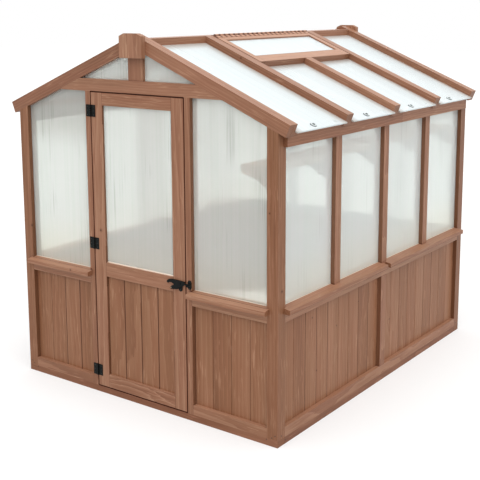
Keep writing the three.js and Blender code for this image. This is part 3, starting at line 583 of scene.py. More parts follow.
def timberMaterial(name, finish, way, piece, cell=None, boards=None, runs=(), knots=(), gaps=(), recesses=(),
                   figure=0.38, streaks=0.55, spread=0.40, lift=0.0, jointShare=(0.35, 0.9)):
    # way: direction of the grain. piece: a number of the piece's own, which its pattern is drawn from
    # cell: (axis, size) of a row of members. boards: (axis, first joint, pitch)
    # runs: (low, high, way, figure, lift, ring scale) boxes of other members in the same node
    # gaps: boxes of painted shade beside open joints
    # recesses: (low, high, axis) boxes in which the faces square to the axis take painted shade
    # jointShare: how dark the boards' joints are, from the faintest to the clearest
    material, tree = blankMaterial(name)
    look = timber[finish]
    coords = addNode(tree, "TexCoord").outputs
    place = coords["Object"]
    facing = addNode(tree, "SeparateXYZ", {0: coords["Normal"]}).outputs
    grain, cut = layGrain(tree, place, facing, way)
    number, line, jointHighlight = float(piece), None, None
    if cell:
        axis, size = cell
        along = addNode(tree, "SeparateXYZ", {0: place}).outputs[axis]
        count = compute(tree, "ROUND", compute(tree, "DIVIDE", along, size))
        number = plus(tree, times(tree, count, numberSteps["cell"]), number)
    if boards:
        number, line, jointHighlight = layBoards(tree, place, number, boards, jointShare)

    own = [figure, lift, growthRings["scale"]]
    for order, (low, high, runWay, *runLook) in enumerate(runs):
        mask = boxMask(tree, place, low, high)
        runGrain, runCut = layGrain(tree, place, facing, runWay)
        runNumber = float(piece) + numberSteps["firstRun"] + numberSteps["run"] * order
        grain = mix(tree, "VECTOR", mask["Inside"], grain, runGrain)
        cut = mix(tree, "FLOAT", mask["Inside"], cut, runCut)
        number = mix(tree, "FLOAT", mask["Inside"], number, runNumber)
        for turn, value in enumerate(runLook):
            own[turn] = mix(tree, "FLOAT", mask["Inside"], own[turn], value)
        line = mask["Joint"] if line is None else compute(tree, "MAXIMUM", line, mask["Joint"])
    wood = useGroup(tree, timberGroup, {
        "Grain Position": grain, "Piece": number, "Base": toLinear(*look["base"]),
        "Dark": toLinear(*look["dark"]), "Pale": toLinear(*look["pale"]), "Figure": own[0],
        "Streaks": streaks, "Tone Spread": spread, "Lift": own[1], "Ring Scale": own[2]})

    colour = painted(tree, wood["Color"], soften(tree, cut, *timber["endFacing"]), timber["endGrain"])
    # upward faces bleached and brightened with painted light from above, with the fibre showing through
    bleachLitMask = soften(tree, wood["Height"], *timber["bareFibre"])
    bleachLitMask = times(tree, bleachLitMask, soften(tree, facing["Z"], *timber["bleachLitFacing"], 0.0, look["bleachAndTopLight"]))
    colour = painted(tree, colour, bleachLitMask, timber["bleachedAndLitTop"])
    # painted shade on the faces square to the axis inside each recess box
    for low, high, axis in recesses:
        turned = soften(tree, compute(tree, "ABSOLUTE", facing[axis]), *timber["recessFacing"])
        turned = times(tree, boxMask(tree, place, low, high)["Inside"], turned)
        colour = painted(tree, colour, turned, timber["recess"])
    haloShare, coreShare = timber["knotShares"]
    for centre, radius in knots:
        spot = useGroup(tree, knotGroup, {"Position": place, "Centre": centre, "Radius": radius})
        colour = painted(tree, colour, times(tree, spot["Halo"], haloShare), look["dark"])
        colour = painted(tree, colour, times(tree, spot["Core"], coreShare), timber["knotCore"])
    worn = useGroup(tree, wearAndHighlightGroup, {"Radius": timber["wearRadius"], "Position": place})
    # paler arrises: worn stain and a painted highlight
    colour = painted(tree, colour, times(tree, worn["WearAndHighlight"], timber["wearAndHighlightShare"]), look["pale"])
    # painted highlight along one side of each board joint
    if boards:
        colour = painted(tree, colour, jointHighlight, look["pale"])
    if line is not None:
        colour = painted(tree, colour, times(tree, line, timber["seamShare"]), timber["seam"])

    roughness = plus(tree, wood["Roughness"], look["rough"] - timber["roughMiddle"])
    # painted shade in the gaps, made dull as well
    for low, high in gaps:
        mask = boxMask(tree, place, low, high)
        colour = painted(tree, colour, times(tree, mask["Inside"], timber["gapShare"]), timber["gap"])
        roughness = mix(tree, "FLOAT", mask["Inside"], roughness, 1.0)
    bump = addNode(tree, "Bump", {"Strength": timber["bumpStrength"], "Distance": timber["bumpDepth"],
                                  "Height": wood["Height"], "Normal": worn["Normal"]})
    coatWith(tree, {"Base Color": colour, "Roughness": roughness, "Normal": bump.outputs[0],
                    "Specular IOR Level": timber["shine"]})
    return material


def dress(name, material):
    mesh = nodes[name].data
    if not mesh.materials:
        mesh.materials.append(material)
    for slot in nodes[name].material_slots:
        slot.material = material


def dressTimber(name, *choices, **moreChoices):
    dress(name, timberMaterial(name, *choices, **moreChoices))


# distances from the middle planes, heights from the ground, in metres
wide = 3.0  # past the whole part
walls = {
    "frontBoards": ("X", 0.404, 0.12975),  # axis, first joint, pitch
    "sideBoards": ("Y", 0.031, 1.1 / 9),
    "backBoards": ("X", 0.031, 0.892 / 7),
    "footRail": (0.040, 0.098),
    "midRail": (0.700, 0.750),
    "sill": (0.750, 0.790),
    "tie": (1.80, 1.967),
    "post": 0.9235,  # inner faces of the corner posts, across
    "postDeep": 1.131,  # the same, along the side walls
    "jamb": 0.404,
    "sillEnd": 0.390,  # laps the jamb
    "face": 1.2031,  # of the gable walls, a little past
    "railFront": 1.21,
    "railBack": 1.1,
    "sideFace": 0.9951,
    "sideBack": 0.8,
    "eaveFoot": 1.6632,
    "eaveJoint": 0.155,  # the eave board is in two lengths
    "eaveGap": 0.002,
    "sideMembers": 0.581,  # from the middle post to a mullion
    "backMembers": 0.477,
    "baseMembers": 1.8,
    "midRailLight": 0.45,  # painted light: the middle rails, in the sills' shadow, are paler, and the sills a little
    "sillLight": 0.1,
}
# boxes that hold the faces set back behind the frames' own faces, which take painted shade
recess = {"sunk": 0.0012, "across": 0.93, "pane": 1.16, "postHead": 1.90, "sideHead": 1.66, "deep": 1.14,
          "jambFace": 0.366, "sidePane": 0.95, "sideEnd": 1.13}
# painted shade in the gaps round the door. jamb: from and to, across. base and head: half width, foot and top
# stops: how deep each one goes, so that the open doorway stays pale
doorGapShade = {"jamb": (0.3500, 0.3646), "base": (0.36, 0.0382, 0.0401), "head": (0.3621, 1.87, 1.8942),
           "sideStop": 1.1955, "headStop": 1.192, "footStop": 1.190, "baseStop": 1.186}
knotSpots = {
    "corner_post_front_left": [((-0.9266, -1.203, 0.9944), 0.006)],
    "corner_post_front_right": [((0.995, -1.1642, 0.8822), 0.006), ((0.940, -1.203, 1.31), 0.004)],
    "front_wall_frame_left": [((-0.5414, -1.243, 0.7673), 0.005)],
    "right_boards": [((0.968, -0.8109, 0.634), 0.004), ((0.968, -0.7588, 0.3006), 0.0035),
                     ((0.968, -0.5381, 0.5104), 0.0035), ((0.968, -0.2741, 0.5907), 0.0035),
                     ((0.968, 0.1412, 0.364), 0.004)],
    "right_rafter_2": [((0.3266, -0.616, 2.081), 0.005)],
    "door_frame": [((-0.3053, -1.203, 1.0469), 0.007)],
}


def onSide(sign, low, high):
    # a box on the right, or its mirror image on the left
    return (low, high) if sign > 0 else ((-high[0], low[1], low[2]), (-low[0], high[1], high[2]))


def dressPosts():
    railTop = walls["footRail"][1]
    out, sideOut = walls["face"] - recess["sunk"], walls["sideFace"] - recess["sunk"]
    across, deep = recess["across"], recess["deep"]
    inward = [((-across, -out, railTop), (across, out, recess["postHead"]), "X"),
              ((-sideOut, -deep, railTop), (sideOut, deep, recess["sideHead"]), "Y")]
    for order, corner in enumerate(("front_left", "front_right", "back_left", "back_right")):
        name = "corner_post_" + corner
        dressTimber(name, "posts", "up", 3 + order * 5, knots=knotSpots.get(name, ()), recesses=inward,
                    figure=0.22, streaks=0.60)


def dressBase():
    deep = walls["postDeep"]
    half, low, high = doorGapShade["base"]
    dressTimber("base_frame", "footing", "deep", 31, cell=("X", walls["baseMembers"]), figure=0.35,
                runs=[((-wide, -wide, -wide), (wide, -deep, wide), "side"),
                      ((-wide, deep, -wide), (wide, wide, wide), "side")],
                gaps=[((-half, -walls["face"], low), (half, -doorGapShade["baseStop"], high))])


def dressFront(side, sign):
    foot, middle, sill, face = walls["footRail"], walls["midRail"], walls["sill"], walls["face"]
    jamb, post, front, back = walls["jamb"], walls["post"], -walls["railFront"], -walls["railBack"]
    boxes = (((jamb, front, foot[0]), (post, back, foot[1]), 0.0),
             ((jamb, front, middle[0]), (post, back, middle[1]), walls["midRailLight"]),
             ((walls["sillEnd"], -wide, sill[0]), (wide, -face, sill[1]), walls["sillLight"]),
             ((jamb, -face, sill[0]), (post, back, sill[1]), walls["sillLight"]))
    runs = [(*onSide(sign, low, high), "side", 0.35, lift) for low, high, lift in boxes]
    near, far = doorGapShade["jamb"]
    gap = onSide(sign, (near, -face, 0.0), (far, -doorGapShade["sideStop"], wide))
    shade = onSide(sign, (recess["jambFace"], recess["sunk"] - face, foot[1]),
                   (recess["across"], -recess["pane"], wide))
    name = "front_wall_frame_" + side
    dressTimber(name, "framing", "up", 41 if sign < 0 else 47, runs=runs, gaps=[gap],
                recesses=[(*shade, "X")], knots=knotSpots.get(name, ()))
    dressTimber("front_boards_" + side, "boarding", "up", 53, boards=walls["frontBoards"], figure=0.26,
                streaks=0.20, jointShare=(0.25, 0.9))


def dressSideWall(side, sign):
    foot, middle, sill, deep = walls["footRail"], walls["midRail"], walls["sill"], walls["postDeep"]
    low, high = (-wide, -walls["sideBack"]) if sign < 0 else (walls["sideBack"], wide)
    eave, joint = walls["eaveFoot"], walls["eaveJoint"]
    runs = [((low, -deep, foot[0]), (high, deep, foot[1]), "deep"),
            ((low, -deep, middle[0]), (high, deep, middle[1]), "deep", 0.35, walls["midRailLight"]),
            ((low, -wide, sill[0]), (high, wide, sill[1]), "deep"),
            ((low, -wide, eave), (high, joint, wide), "deep"),
            ((low, joint + walls["eaveGap"], eave), (high, wide, wide), "deep")]
    shade = onSide(sign, (recess["sidePane"], -recess["sideEnd"], foot[1]),
                   (walls["sideFace"] - recess["sunk"], recess["sideEnd"], eave))
    dressTimber(side + "_wall_frame", "framing", "up", 61 if sign < 0 else 67,
                cell=("Y", walls["sideMembers"]), runs=runs, recesses=[(*shade, "Y")])
    name = side + "_boards"
    dressTimber(name, "boarding", "up", 71 if sign < 0 else 73, boards=walls["sideBoards"],
                figure=0.22, streaks=0.19, jointShare=(0.08, 0.60), knots=knotSpots.get(name, ()))


def dressBack():
    foot, middle, sill, post = walls["footRail"], walls["midRail"], walls["sill"], walls["post"]
    runs = [((-post, walls["railBack"], low), (post, wide, high), "side")
            for low, high in (foot, middle, sill)]
    shade = ((-recess["across"], recess["pane"], foot[1]),
             (recess["across"], walls["face"] - recess["sunk"], wide))
    dressTimber("back_wall_frame", "framing", "up", 83, cell=("X", walls["backMembers"]), runs=runs,
                recesses=[(*shade, "X")])
    dressTimber("back_boards", "boarding", "up", 89, boards=walls["backBoards"], figure=0.26, streaks=0.26)


def dressGables():
    half, low, high = doorGapShade["head"]
    gap = ((-half, -walls["face"], low), (half, -doorGapShade["headStop"], high))
    tieFoot, tieTop = walls["tie"]
    for name, number, gaps in (("front_truss", 97, [gap]), ("back_truss", 101, [])):
        dressTimber(name, "gable", "up", number, figure=0.26, streaks=0.40, gaps=gaps,
                    runs=[((-wide, -wide, tieFoot), (wide, wide, tieTop), "side")])
    for name, number in (("front_ridge_cap", 103), ("back_ridge_cap", 107)):
        dressTimber(name, "gable", "up", number, figure=0.3)


# the outer rafters are darker. Vent: half length, distance between the stiles, and how far down the
# slope the head rail ends and the foot rail starts
roof = {"outer": (1, 5), "outerLift": -0.22, "ventHalf": 0.485, "ventStiles": 1.0, "headRail": 0.127,
        "headPast": 0.02, "footRail": 0.369, "footPast": 0.006}


def dressRoof():
    for order in range(1, 6):
        for side, sign in bothSides:
            name = f"{side}_rafter_{order}"
            number = 109 + order * 3 + (40 if sign > 0 else 0)
            dressTimber(name, "roofing", "slope", number, figure=0.3, streaks=0.38,
                        lift=roof["outerLift"] if order in roof["outer"] else 0.0,
                        knots=knotSpots.get(name, ()))
    dressTimber("ridge_beam", "roofing", "deep", 163, figure=0.3)
    dressTimber("vent_trimmer", "roofing", "deep", 167)
    run, half = math.cos(timber["slope"]), roof["ventHalf"]
    head, foot = roof["headRail"] * run + roof["headPast"], roof["footRail"] * run + roof["footPast"]
    dressTimber("vent_frame", "ventWood", "slope", 173, cell=("Y", roof["ventStiles"]), streaks=0.50,
                runs=[((-wide, -half, -wide), (head, half, wide), "deep"),
                      ((foot, -half, -wide), (wide, half, wide), "deep")])


door = {
    "panel": 0.267,  # inner edges of the stiles, across
    "stiles": 0.6,  # distance between the stiles
    "boards": ("X", -0.267, 0.534 / 4),
    "footRail": (0.0, 0.40, "side", 0.75, 0.10, 75.0),  # low, high, way, figure, lift, ring scale
    "midRail": (0.70, 0.95, "side", 0.12, 0.15),
    "headRail": (1.70, 2.0, "side"),
    "past": 0.37,  # past the leaf's edges
    "stile": 0.3566,  # where the dark edges start: at the sides, the top and the bottom
    "top": 1.8860,
    "bottom": 0.0458,
    "recess": (0.2676, -1.17, 0.12, 1.83),  # half width, back, foot and head
}


def dressDoor():
    face, past, panel = walls["face"], door["past"], door["panel"]
    runs = [((-panel, -wide, low), (panel, wide, high), *look)
            for low, high, *look in (door["footRail"], door["midRail"], door["headRail"])]
    sideStop, headStop, footStop = (-doorGapShade[key] for key in ("sideStop", "headStop", "footStop"))
    gaps = [((-past, -face, 0.0), (-door["stile"], sideStop, wide)),
            ((door["stile"], -face, 0.0), (past, sideStop, wide)),
            ((-past, -face, door["top"]), (past, headStop, wide)),
            ((-past, -face, 0.0), (past, footStop, door["bottom"]))]
    half, back, foot, head = door["recess"]
    shade = ((-half, recess["sunk"] - face, foot), (half, back, head), "X")
    dressTimber("door_frame", "framing", "up", 191, cell=("X", door["stiles"]), figure=0.40, runs=runs,
                gaps=gaps, recesses=[shade], knots=knotSpots["door_frame"])
    dressTimber("door_boards", "boarding", "up", 197, boards=door["boards"], figure=0.26, streaks=0.20,
                jointShare=(0.9, 1.0))


dressPosts()
dressBase()
for side, sign in bothSides:
    dressFront(side, sign)
    dressSideWall(side, sign)
dressBack()
dressGables()
dressTimber("shelf", "shelving", "deep", 179)
dressRoof()
dressDoor()
print("timber dressed")


glazing = {
    "wall": {"tone": (247, 252, 247), "warm": (250, 247, 231), "haze": (254, 255, 253), "clear": 0.68,
             "rough": 0.052, "pitch": 0.0095, "ribDepth": 0.00010, "lets": (1.0, 1.0, 0.995), "lines": 0.46},
    "side": {"tone": (248, 255, 252), "warm": (253, 250, 233), "haze": (252, 255, 255), "clear": 0.58,
             "rough": 0.055, "pitch": 0.0095, "ribDepth": 0.00010, "lets": (1.0, 1.0, 0.995), "lines": 0.21},
    "roof": {"tone": (228, 237, 239), "warm": (224, 230, 229), "haze": (236, 244, 245), "clear": 0.14,
             "rough": 0.24, "pitch": 0.012, "ribDepth": 0.0002, "lets": (0.975, 0.975, 0.97), "lines": 0.0},
    "line": (196, 202, 194),
    "hazeBetween": (0.28, 0.66),
    "webShare": 0.30,
    "foot": 0.80,
    "dust": (0.30, 0.40),  # height above the foot and share of the dust there
    "headShade": (178, 172, 162),  # the eave boards, dim at the head of a gable pane
    "headBetween": (1.50, 1.70),
    "headEnd": 1.95,
    "headAcross": (-0.40, -0.30, 0.34, 0.04),  # stronger left of the door
    "edgeShade": (176, 160, 146),  # the rafters' hidden feet, dim through the sheet
    "edgeWidth": 0.075,
    "edgeShare": 0.60,
    "crownShare": 0.70,
    "roughSpread": (0.25, 0.75, -0.02, 0.04),
    "bend": 1.32,
}


def shadeHead(tree, parts, colour):
    shade = times(tree, soften(tree, parts["Z"], *glazing["headBetween"]),
                  soften(tree, parts["X"], *glazing["headAcross"]))
    shade = times(tree, shade, compute(tree, "LESS_THAN", parts["Z"], glazing["headEnd"]))
    return painted(tree, colour, shade, glazing["headShade"])


def shadeBay(tree, parts, colour, bay):
    # bay: low and high end along y, and how far out the upper edge lies
    low, high, crown = bay
    up = minus(tree, compute(tree, "ABSOLUTE", parts["X"]), crown)
    shade = None
    for away, share in ((minus(tree, parts["Y"], low), glazing["edgeShare"]),
                        (minus(tree, high, parts["Y"]), glazing["edgeShare"]), (up, glazing["crownShare"])):
        near = soften(tree, away, 0.0, glazing["edgeWidth"], share, 0.0)
        shade = near if shade is None else compute(tree, "MAXIMUM", shade, near)
    return painted(tree, colour, shade, glazing["edgeShade"])


def sheetMaterial(name, finish, across, along, dusty=False, head=False, bay=None):
    material, tree = blankMaterial(name)
    look = glazing[finish]
    parts = addNode(tree, "SeparateXYZ", {0: addNode(tree, "TexCoord").outputs["Object"]}).outputs
    sheet = useGroup(tree, sheetGroup, {"Across": parts[across], "Along": parts[along],
                                        "Pitch": look["pitch"]})
    hazy = soften(tree, sheet["Streak"], *glazing["hazeBetween"])
    colour = mix(tree, "RGBA", hazy, toLinear(*look["tone"]), toLinear(*look["haze"]))
    colour = painted(tree, colour, times(tree, sheet["Web"], glazing["webShare"]), look["warm"])
    colour = painted(tree, colour, times(tree, sheet["Line"], look["lines"]), glazing["line"])
    if dusty:
        reach, share = glazing["dust"]
        dust = soften(tree, parts["Z"], glazing["foot"], glazing["foot"] + reach, share, 0.0)
        colour = painted(tree, colour, dust, look["warm"])
    if head:
        colour = shadeHead(tree, parts, colour)
    if bay:
        colour = shadeBay(tree, parts, colour, bay)
    bump = addNode(tree, "Bump", {"Strength": 1.0, "Distance": look["ribDepth"], "Height": sheet["Height"]})
    low, high, less, more = glazing["roughSpread"]
    roughness = soften(tree, sheet["Cloud"], low, high, look["rough"] + less, look["rough"] + more)
    surface = addNode(tree, "BsdfPrincipled", {
        "Base Color": colour, "Transmission Weight": look["clear"], "IOR": glazing["bend"],
        "Normal": bump.outputs[0], "Roughness": roughness})
    # lamps light the inside through the sheet
    through = addNode(tree, "BsdfTransparent", {"Color": (*look["lets"], 1)})
    mixed = addNode(tree, "MixShader", {0: addNode(tree, "LightPath").outputs["Is Shadow Ray"],
                                        1: surface.outputs[0], 2: through.outputs[0]})
    addNode(tree, "OutputMaterial", {"Surface": mixed.outputs[0]})
    return material


def dressGlazing():
    for name in ("front_glazing", "back_glazing", "door_glazing"):
        dress(name, sheetMaterial(name, "wall", "X", "Z", dusty=True, head=True))
    for name in ("left_glazing", "right_glazing"):
        dress(name, sheetMaterial(name, "side", "Y", "Z", dusty=True))
    for side in ("left", "right"):
        for order in range(1, 5):
            name = f"{side}_roof_sheet_{order}"
            low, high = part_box(name)
            bay = (low.y, high.y, min(abs(low.x), abs(high.x)))
            dress(name, sheetMaterial(name, "roof", "Y", "X", bay=bay))
    dress("vent_glazing", sheetMaterial("vent_glazing", "roof", "Y", "X"))


dressGlazing()
print("glazing dressed")


iron = {"coat": (4, 7, 6), "worn": (26, 32, 30), "rough": 0.46, "wearRadius": 0.0008, "shine": 0.14}
pianoHinge = {
    "coat": (196, 152, 126),
    "worn": (216, 178, 150),
    "rough": 0.48,
    "wearRadius": 0.0008,
    "shine": 0.3,
    "joint": (112, 68, 50),  # painted shade in the gaps between the knuckles
    "foot": -0.534,
    "pitch": 1.068 / 21,
    "oily": (0.0060, 0.0130),  # metres from a joint
}
# noises as (scale, detail, roughness)
metalSurface = {"grit": (900.0, 2.0, 0.6), "cloud": (60.0, 3.0, 0.6), "cloudy": (0.45, 0.75, 0.0, 0.35),
                "wearAndHighlightShare": 0.6, "roughSpread": 0.2, "bumpStrength": 0.3, "bumpDepth": 0.0003}


def metalMaterial(name, look):
    material, tree = blankMaterial(name)
    place = addNode(tree, "TexCoord").outputs["Object"]
    grit = noise(tree, place, *metalSurface["grit"])
    cloud = noise(tree, place, *metalSurface["cloud"])
    arrises = useGroup(tree, wearAndHighlightGroup, {"Radius": look["wearRadius"], "Position": place})
    colour = mix(tree, "RGBA", soften(tree, cloud, *metalSurface["cloudy"]),
                 toLinear(*look["coat"]), toLinear(*look["worn"]))
    # paler arrises: worn coat and a painted highlight
    colour = painted(tree, colour, times(tree, arrises["WearAndHighlight"], metalSurface["wearAndHighlightShare"]), look["worn"])
    if "joint" in look:
        along = addNode(tree, "SeparateXYZ", {0: place}).outputs["Y"]
        steps = compute(tree, "DIVIDE", minus(tree, along, look["foot"]), look["pitch"])
        away = times(tree, compute(tree, "PINGPONG", steps, 0.5), look["pitch"])
        # painted shade round the knuckles' joints
        colour = painted(tree, colour, soften(tree, away, *look["oily"], 1.0, 0.0), look["joint"])
    bump = addNode(tree, "Bump", {
        "Strength": metalSurface["bumpStrength"], "Distance": metalSurface["bumpDepth"],
        "Height": grit, "Normal": arrises["Normal"]})
    spread = metalSurface["roughSpread"]
    roughness = plus(tree, times(tree, cloud, spread), look["rough"] - spread / 2)
    coatWith(tree, {"Base Color": colour, "Roughness": roughness, "Normal": bump.outputs[0],
                    "Metallic": look.get("metal", 0.0), "Specular IOR Level": look.get("shine", 0.5)})
    return material


blackIron = metalMaterial("blackIron", iron)
bronzeLeaf = metalMaterial("bronzeLeaf", pianoHinge)
for name in nodes:
    if name.startswith(("door_hinge", "latch")):
        dress(name, blackIron)
    if name.startswith("vent_hinge"):
        dress(name, bronzeLeaf)
print("ironwork dressed")


# the cross in a screw's head, and which rings of its profile take that outline
driverSlot = {"core": 0.34, "arms": 0.66, "sharpness": 5, "rings": (5, 6)}


def closeRings(bm, rings):
    # faces between rings of vertices, with both ends closed
    for low, high in zip(rings, rings[1:]):
        for step in range(len(low)):
            after = (step + 1) % len(low)
            bm.faces.new((low[step], low[after], high[after], high[step]))
    bm.faces.new(list(reversed(rings[0])))
    bm.faces.new(rings[-1])


def lathe(bm, profile, steps, turn, cross):
    # rings of (radius, height) round the local z axis. cross: ring numbers that take a cross-shaped outline
    rings = []
    for number, (radius, height) in enumerate(profile):
        ring = []
        for step in range(steps):
            angle = 2 * math.pi * step / steps
            reach = radius
            if number in cross:
                arm = abs(math.cos(2 * angle)) ** driverSlot["sharpness"]
                reach *= driverSlot["core"] + driverSlot["arms"] * arm
            spot = Vector((reach * math.cos(angle), reach * math.sin(angle), height))
            ring.append(bm.verts.new(turn @ spot))
        rings.append(ring)
    closeRings(bm, rings)


def placed(point, outward):
    # a frame at the point with its z axis outward
    return Matrix.Translation(point) @ Vector(outward).to_track_quat("Z", "X").to_matrix().to_4x4()


def addPiece(name, bm, material, body, smooth=35):
    mesh = bpy.data.meshes.new(name)
    bm.to_mesh(mesh)
    bm.free()
    mesh.materials.append(material)
    mesh.shade_smooth()
    mesh.set_sharp_from_angle(angle=math.radians(smooth))
    piece = bpy.data.objects.new(name, mesh)
    bpy.context.scene.collection.objects.link(piece)
    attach(piece, body)


def fastenerPiece(name, places, radius, outline, steps, material, body, cross=()):
    # outline: (share of the radius, height above the seat) from the seat up
    bm = bmesh.new()
    profile = [(radius * share, height) for share, height in outline]
    for point, outward in places:
        lathe(bm, profile, steps, placed(point, outward), cross)
    addPiece(name, bm, material, body)


roofScrews = {
    "out": 1.035,  # of the row, across
    "fromFront": 0.203,  # past the nearer rafter
    "plugFromBack": 0.085,  # plain plugs before the next rafter
    "bays": ((-1.131, -0.616), (-0.546, -0.035), (0.035, 0.546), (0.616, 1.131)),
    "ridge": 2.232,  # where the rafters' upper faces meet
    "sheetSunk": 0.039,
    "washerRadius": 0.0195,
    "washer": ((0.95, -0.0004), (1, 0.0010), (0.97, 0.0022), (0.80, 0.0026)),
    "capRadius": 0.0160,
    "cap": ((0.98, 0.0018), (1, 0.0034), (0.95, 0.0048), (0.82, 0.0058), (0.66, 0.0062), (0.58, 0.0056)),
    "plug": ((0.90, -0.0004), (0.92, 0.0008), (0.86, 0.0020), (0.70, 0.0026)),
    "headRadius": 0.0085,
    "head": ((1, 0.0050), (1.02, 0.0064), (0.94, 0.0082), (0.76, 0.0094), (0.55, 0.0099), (0.50, 0.0098),
             (0.34, 0.0074)),
    # dark rubber washers under the caps, whose rim also stands for the painted shadow under each cap
    "rubberShadowRing": {"coat": (70, 78, 78), "worn": (110, 118, 117), "rough": 0.62, "wearRadius": 0.0006},
    "plastic": {"coat": (206, 213, 212), "worn": (226, 231, 230), "rough": 0.50, "wearRadius": 0.0006},
    "zinc": {"coat": (96, 104, 103), "worn": (150, 157, 155), "rough": 0.44, "wearRadius": 0.0006,
             "metal": 0.2},
    "steps": 32,
}


def makeRoofScrews():
    look, slope, steps = roofScrews, timber["slope"], roofScrews["steps"]
    # the washers' dark rim: rubber and painted shadow under the caps
    rubberShadowRing = metalMaterial("rubberWasherShadowRing", look["rubberShadowRing"])
    plastic = metalMaterial("paleCap", look["plastic"])
    zinc = metalMaterial("dullZinc", look["zinc"])
    top = look["ridge"] - look["out"] * math.tan(slope) - look["sheetSunk"] / math.cos(slope)
    for side, sign in bothSides:
        normal = Vector((sign * math.sin(slope), 0, math.cos(slope)))
        x = sign * look["out"]
        screws, plugs = [], []
        for low, high in look["bays"]:
            screws.append((Vector((x, low + look["fromFront"], top)), normal))
            plugs.append((Vector((x, high - look["plugFromBack"], top)), normal))
        for name, spots, radius, outline, material in (
                ("washers", screws, look["washerRadius"], look["washer"], rubberShadowRing),
                ("caps", screws, look["capRadius"], look["cap"], plastic),
                ("plugs", plugs, look["capRadius"], look["plug"], plastic)):
            fastenerPiece(f"roof_{name}_{side}", spots, radius, outline, steps, material, "house")
        fastenerPiece(f"roof_screws_{side}", screws, look["headRadius"], look["head"], steps, zinc, "house",
                      cross=driverSlot["rings"])


nails = {
    "radius": 0.0038,
    "outline": ((0.95, -0.0005), (1, 0.0001), (0.87, 0.0004), (0.5, 0.0006)),
    "steps": 16,
    "metal": {"coat": (62, 38, 28), "worn": (92, 64, 50), "rough": 0.55, "wearRadius": 0.0004},
    "face": 1.2030,
    "gablePlaces": ((0.9561, 0.0502), (0.9212, 0.0330), (0.978, 0.066)),  # across and up
    "side": 0.995,
    "sidePlaces": ((1.1253, 0.0209), (1.164, 0.058)),  # along and up
}


def makeNails():
    # nail heads set a little into the posts' feet and the base
    places = []
    for sign in (-1, 1):
        for x, z in nails["gablePlaces"]:
            for way in (-1, 1):
                places.append((Vector((sign * x, way * nails["face"], z)), (0, way, 0)))
        for y, z in nails["sidePlaces"]:
            for way in (-1, 1):
                places.append((Vector((sign * nails["side"], way * y, z)), (sign, 0, 0)))
    fastenerPiece("post_nails", places, nails["radius"], nails["outline"], nails["steps"],
                  metalMaterial("nailHead", nails["metal"]), "house")


screwHead = {
    "rise": 0.0014,
    "shares": ((1.0, 0.2), (0.86, 0.7), (0.62, 1), (0.52, 1), (0.46, 0.9), (0.30, 0.3)),  # of radius and rise
    "seat": -0.0003,
    "steps": 24,
    "steel": {"coat": (22, 26, 26), "worn": (64, 70, 69), "rough": 0.36, "wearRadius": 0.0003, "metal": 0.4},
}


def screwPiece(name, points, radius, rise, steel, body):
    # domed heads that face the front
    outline = [(1.0, screwHead["seat"]), *((share, rise * height) for share, height in screwHead["shares"])]
    places = [(Vector(point), (0, -1, 0)) for point in points]
    fastenerPiece(name, places, radius, outline, screwHead["steps"], steel, body, cross=driverSlot["rings"])


hinges = {"heights": (0.145, 0.960, 1.775), "axisX": -0.3605, "face": -1.203, "leafThick": 0.0025,
          "screwRadius": 0.0032, "rows": (-0.024, 0.0, 0.024), "reach": 0.025}


def makeHingeScrews(steel):
    plate = hinges["face"] - hinges["leafThick"]
    for leaf, body, sign in (("jamb", "house", -1), ("door", "door", 1)):
        points = [(hinges["axisX"] + sign * hinges["reach"], plate, height + row)
                  for height in hinges["heights"] for row in hinges["rows"]]
        screwPiece(f"hinge_screws_{leaf}", points, hinges["screwRadius"], screwHead["rise"], steel, body)


latch = {
    "screwRadius": 0.0030,
    "catchScrews": ((0.3895, -1.2060, 0.8425), (0.3895, -1.2060, 0.8015)),
    "plateScrew": (0.323, -1.2070, 0.7835),
    "sunkRise": 0.0004,  # since the lever's lobe passes over the plate's screw
    "rivet": (0.2573, -1.2146, 0.7882),
    "rivetRadius": 0.0042,
    "rivetOutline": ((1, -0.0003), (1, 0.0004), (0.80, 0.0009), (0.55, 0.0007), (0.3, 0.0003)),
    "rivetSteps": 24,
    "brass": {"coat": (150, 124, 98), "worn": (186, 162, 134), "rough": 0.40, "wearRadius": 0.0004,
              "metal": 0.4},
}


def makeLatchDetails(steel):
    radius = latch["screwRadius"]
    screwPiece("catch_screws", latch["catchScrews"], radius, screwHead["rise"], steel, "house")
    screwPiece("latch_plate_screw", [latch["plateScrew"]], radius, latch["sunkRise"], steel, "door")
    brass = metalMaterial("dullBrass", latch["brass"])
    fastenerPiece("latch_rivet", [(Vector(latch["rivet"]), (0, -1, 0))], latch["rivetRadius"],
                  latch["rivetOutline"], latch["rivetSteps"], brass, "latch")


makeRoofScrews()
makeNails()
blackSteel = metalMaterial("blackSteel", screwHead["steel"])
makeHingeScrews(blackSteel)
makeLatchDetails(blackSteel)
print("fasteners made")


endChamfer = 0.0012
upright = Matrix.Identity(4)
alongX = Matrix(((0, 0, 1, 0), (1, 0, 0, 0), (0, 1, 0, 0), (0, 0, 0, 1)))  # outline in y and z
alongY = Matrix(((1, 0, 0, 0), (0, 0, -1, 0), (0, 1, 0, 0), (0, 0, 0, 1)))  # in x and z, towards -y


def extruded(bm, outline, start, end, turn):
    # closed outline in the local x and y, run along local z, with small chamfers at both ends
    middle = Vector((sum(x for x, y in outline) / len(outline), sum(y for x, y in outline) / len(outline)))
    rings = []
    for height, inset in ((start, endChamfer), (start + endChamfer, 0),
                          (end - endChamfer, 0), (end, endChamfer)):
        ring = []
        for x, y in outline:
            inward = middle - Vector((x, y))
            spot = Vector((x, y)) + inward.normalized() * min(inset, inward.length / 2)
            ring.append(bm.verts.new(turn @ Vector((spot.x, spot.y, height))))
        rings.append(ring)
    closeRings(bm, rings)


def chamfered(low, high, cut):
    # rectangle with cut corners
    (x0, y0), (x1, y1) = low, high
    return [(x0 + cut, y0), (x1 - cut, y0), (x1, y0 + cut), (x1, y1 - cut),
            (x1 - cut, y1), (x0 + cut, y1), (x0, y1 - cut), (x0, y0 + cut)]


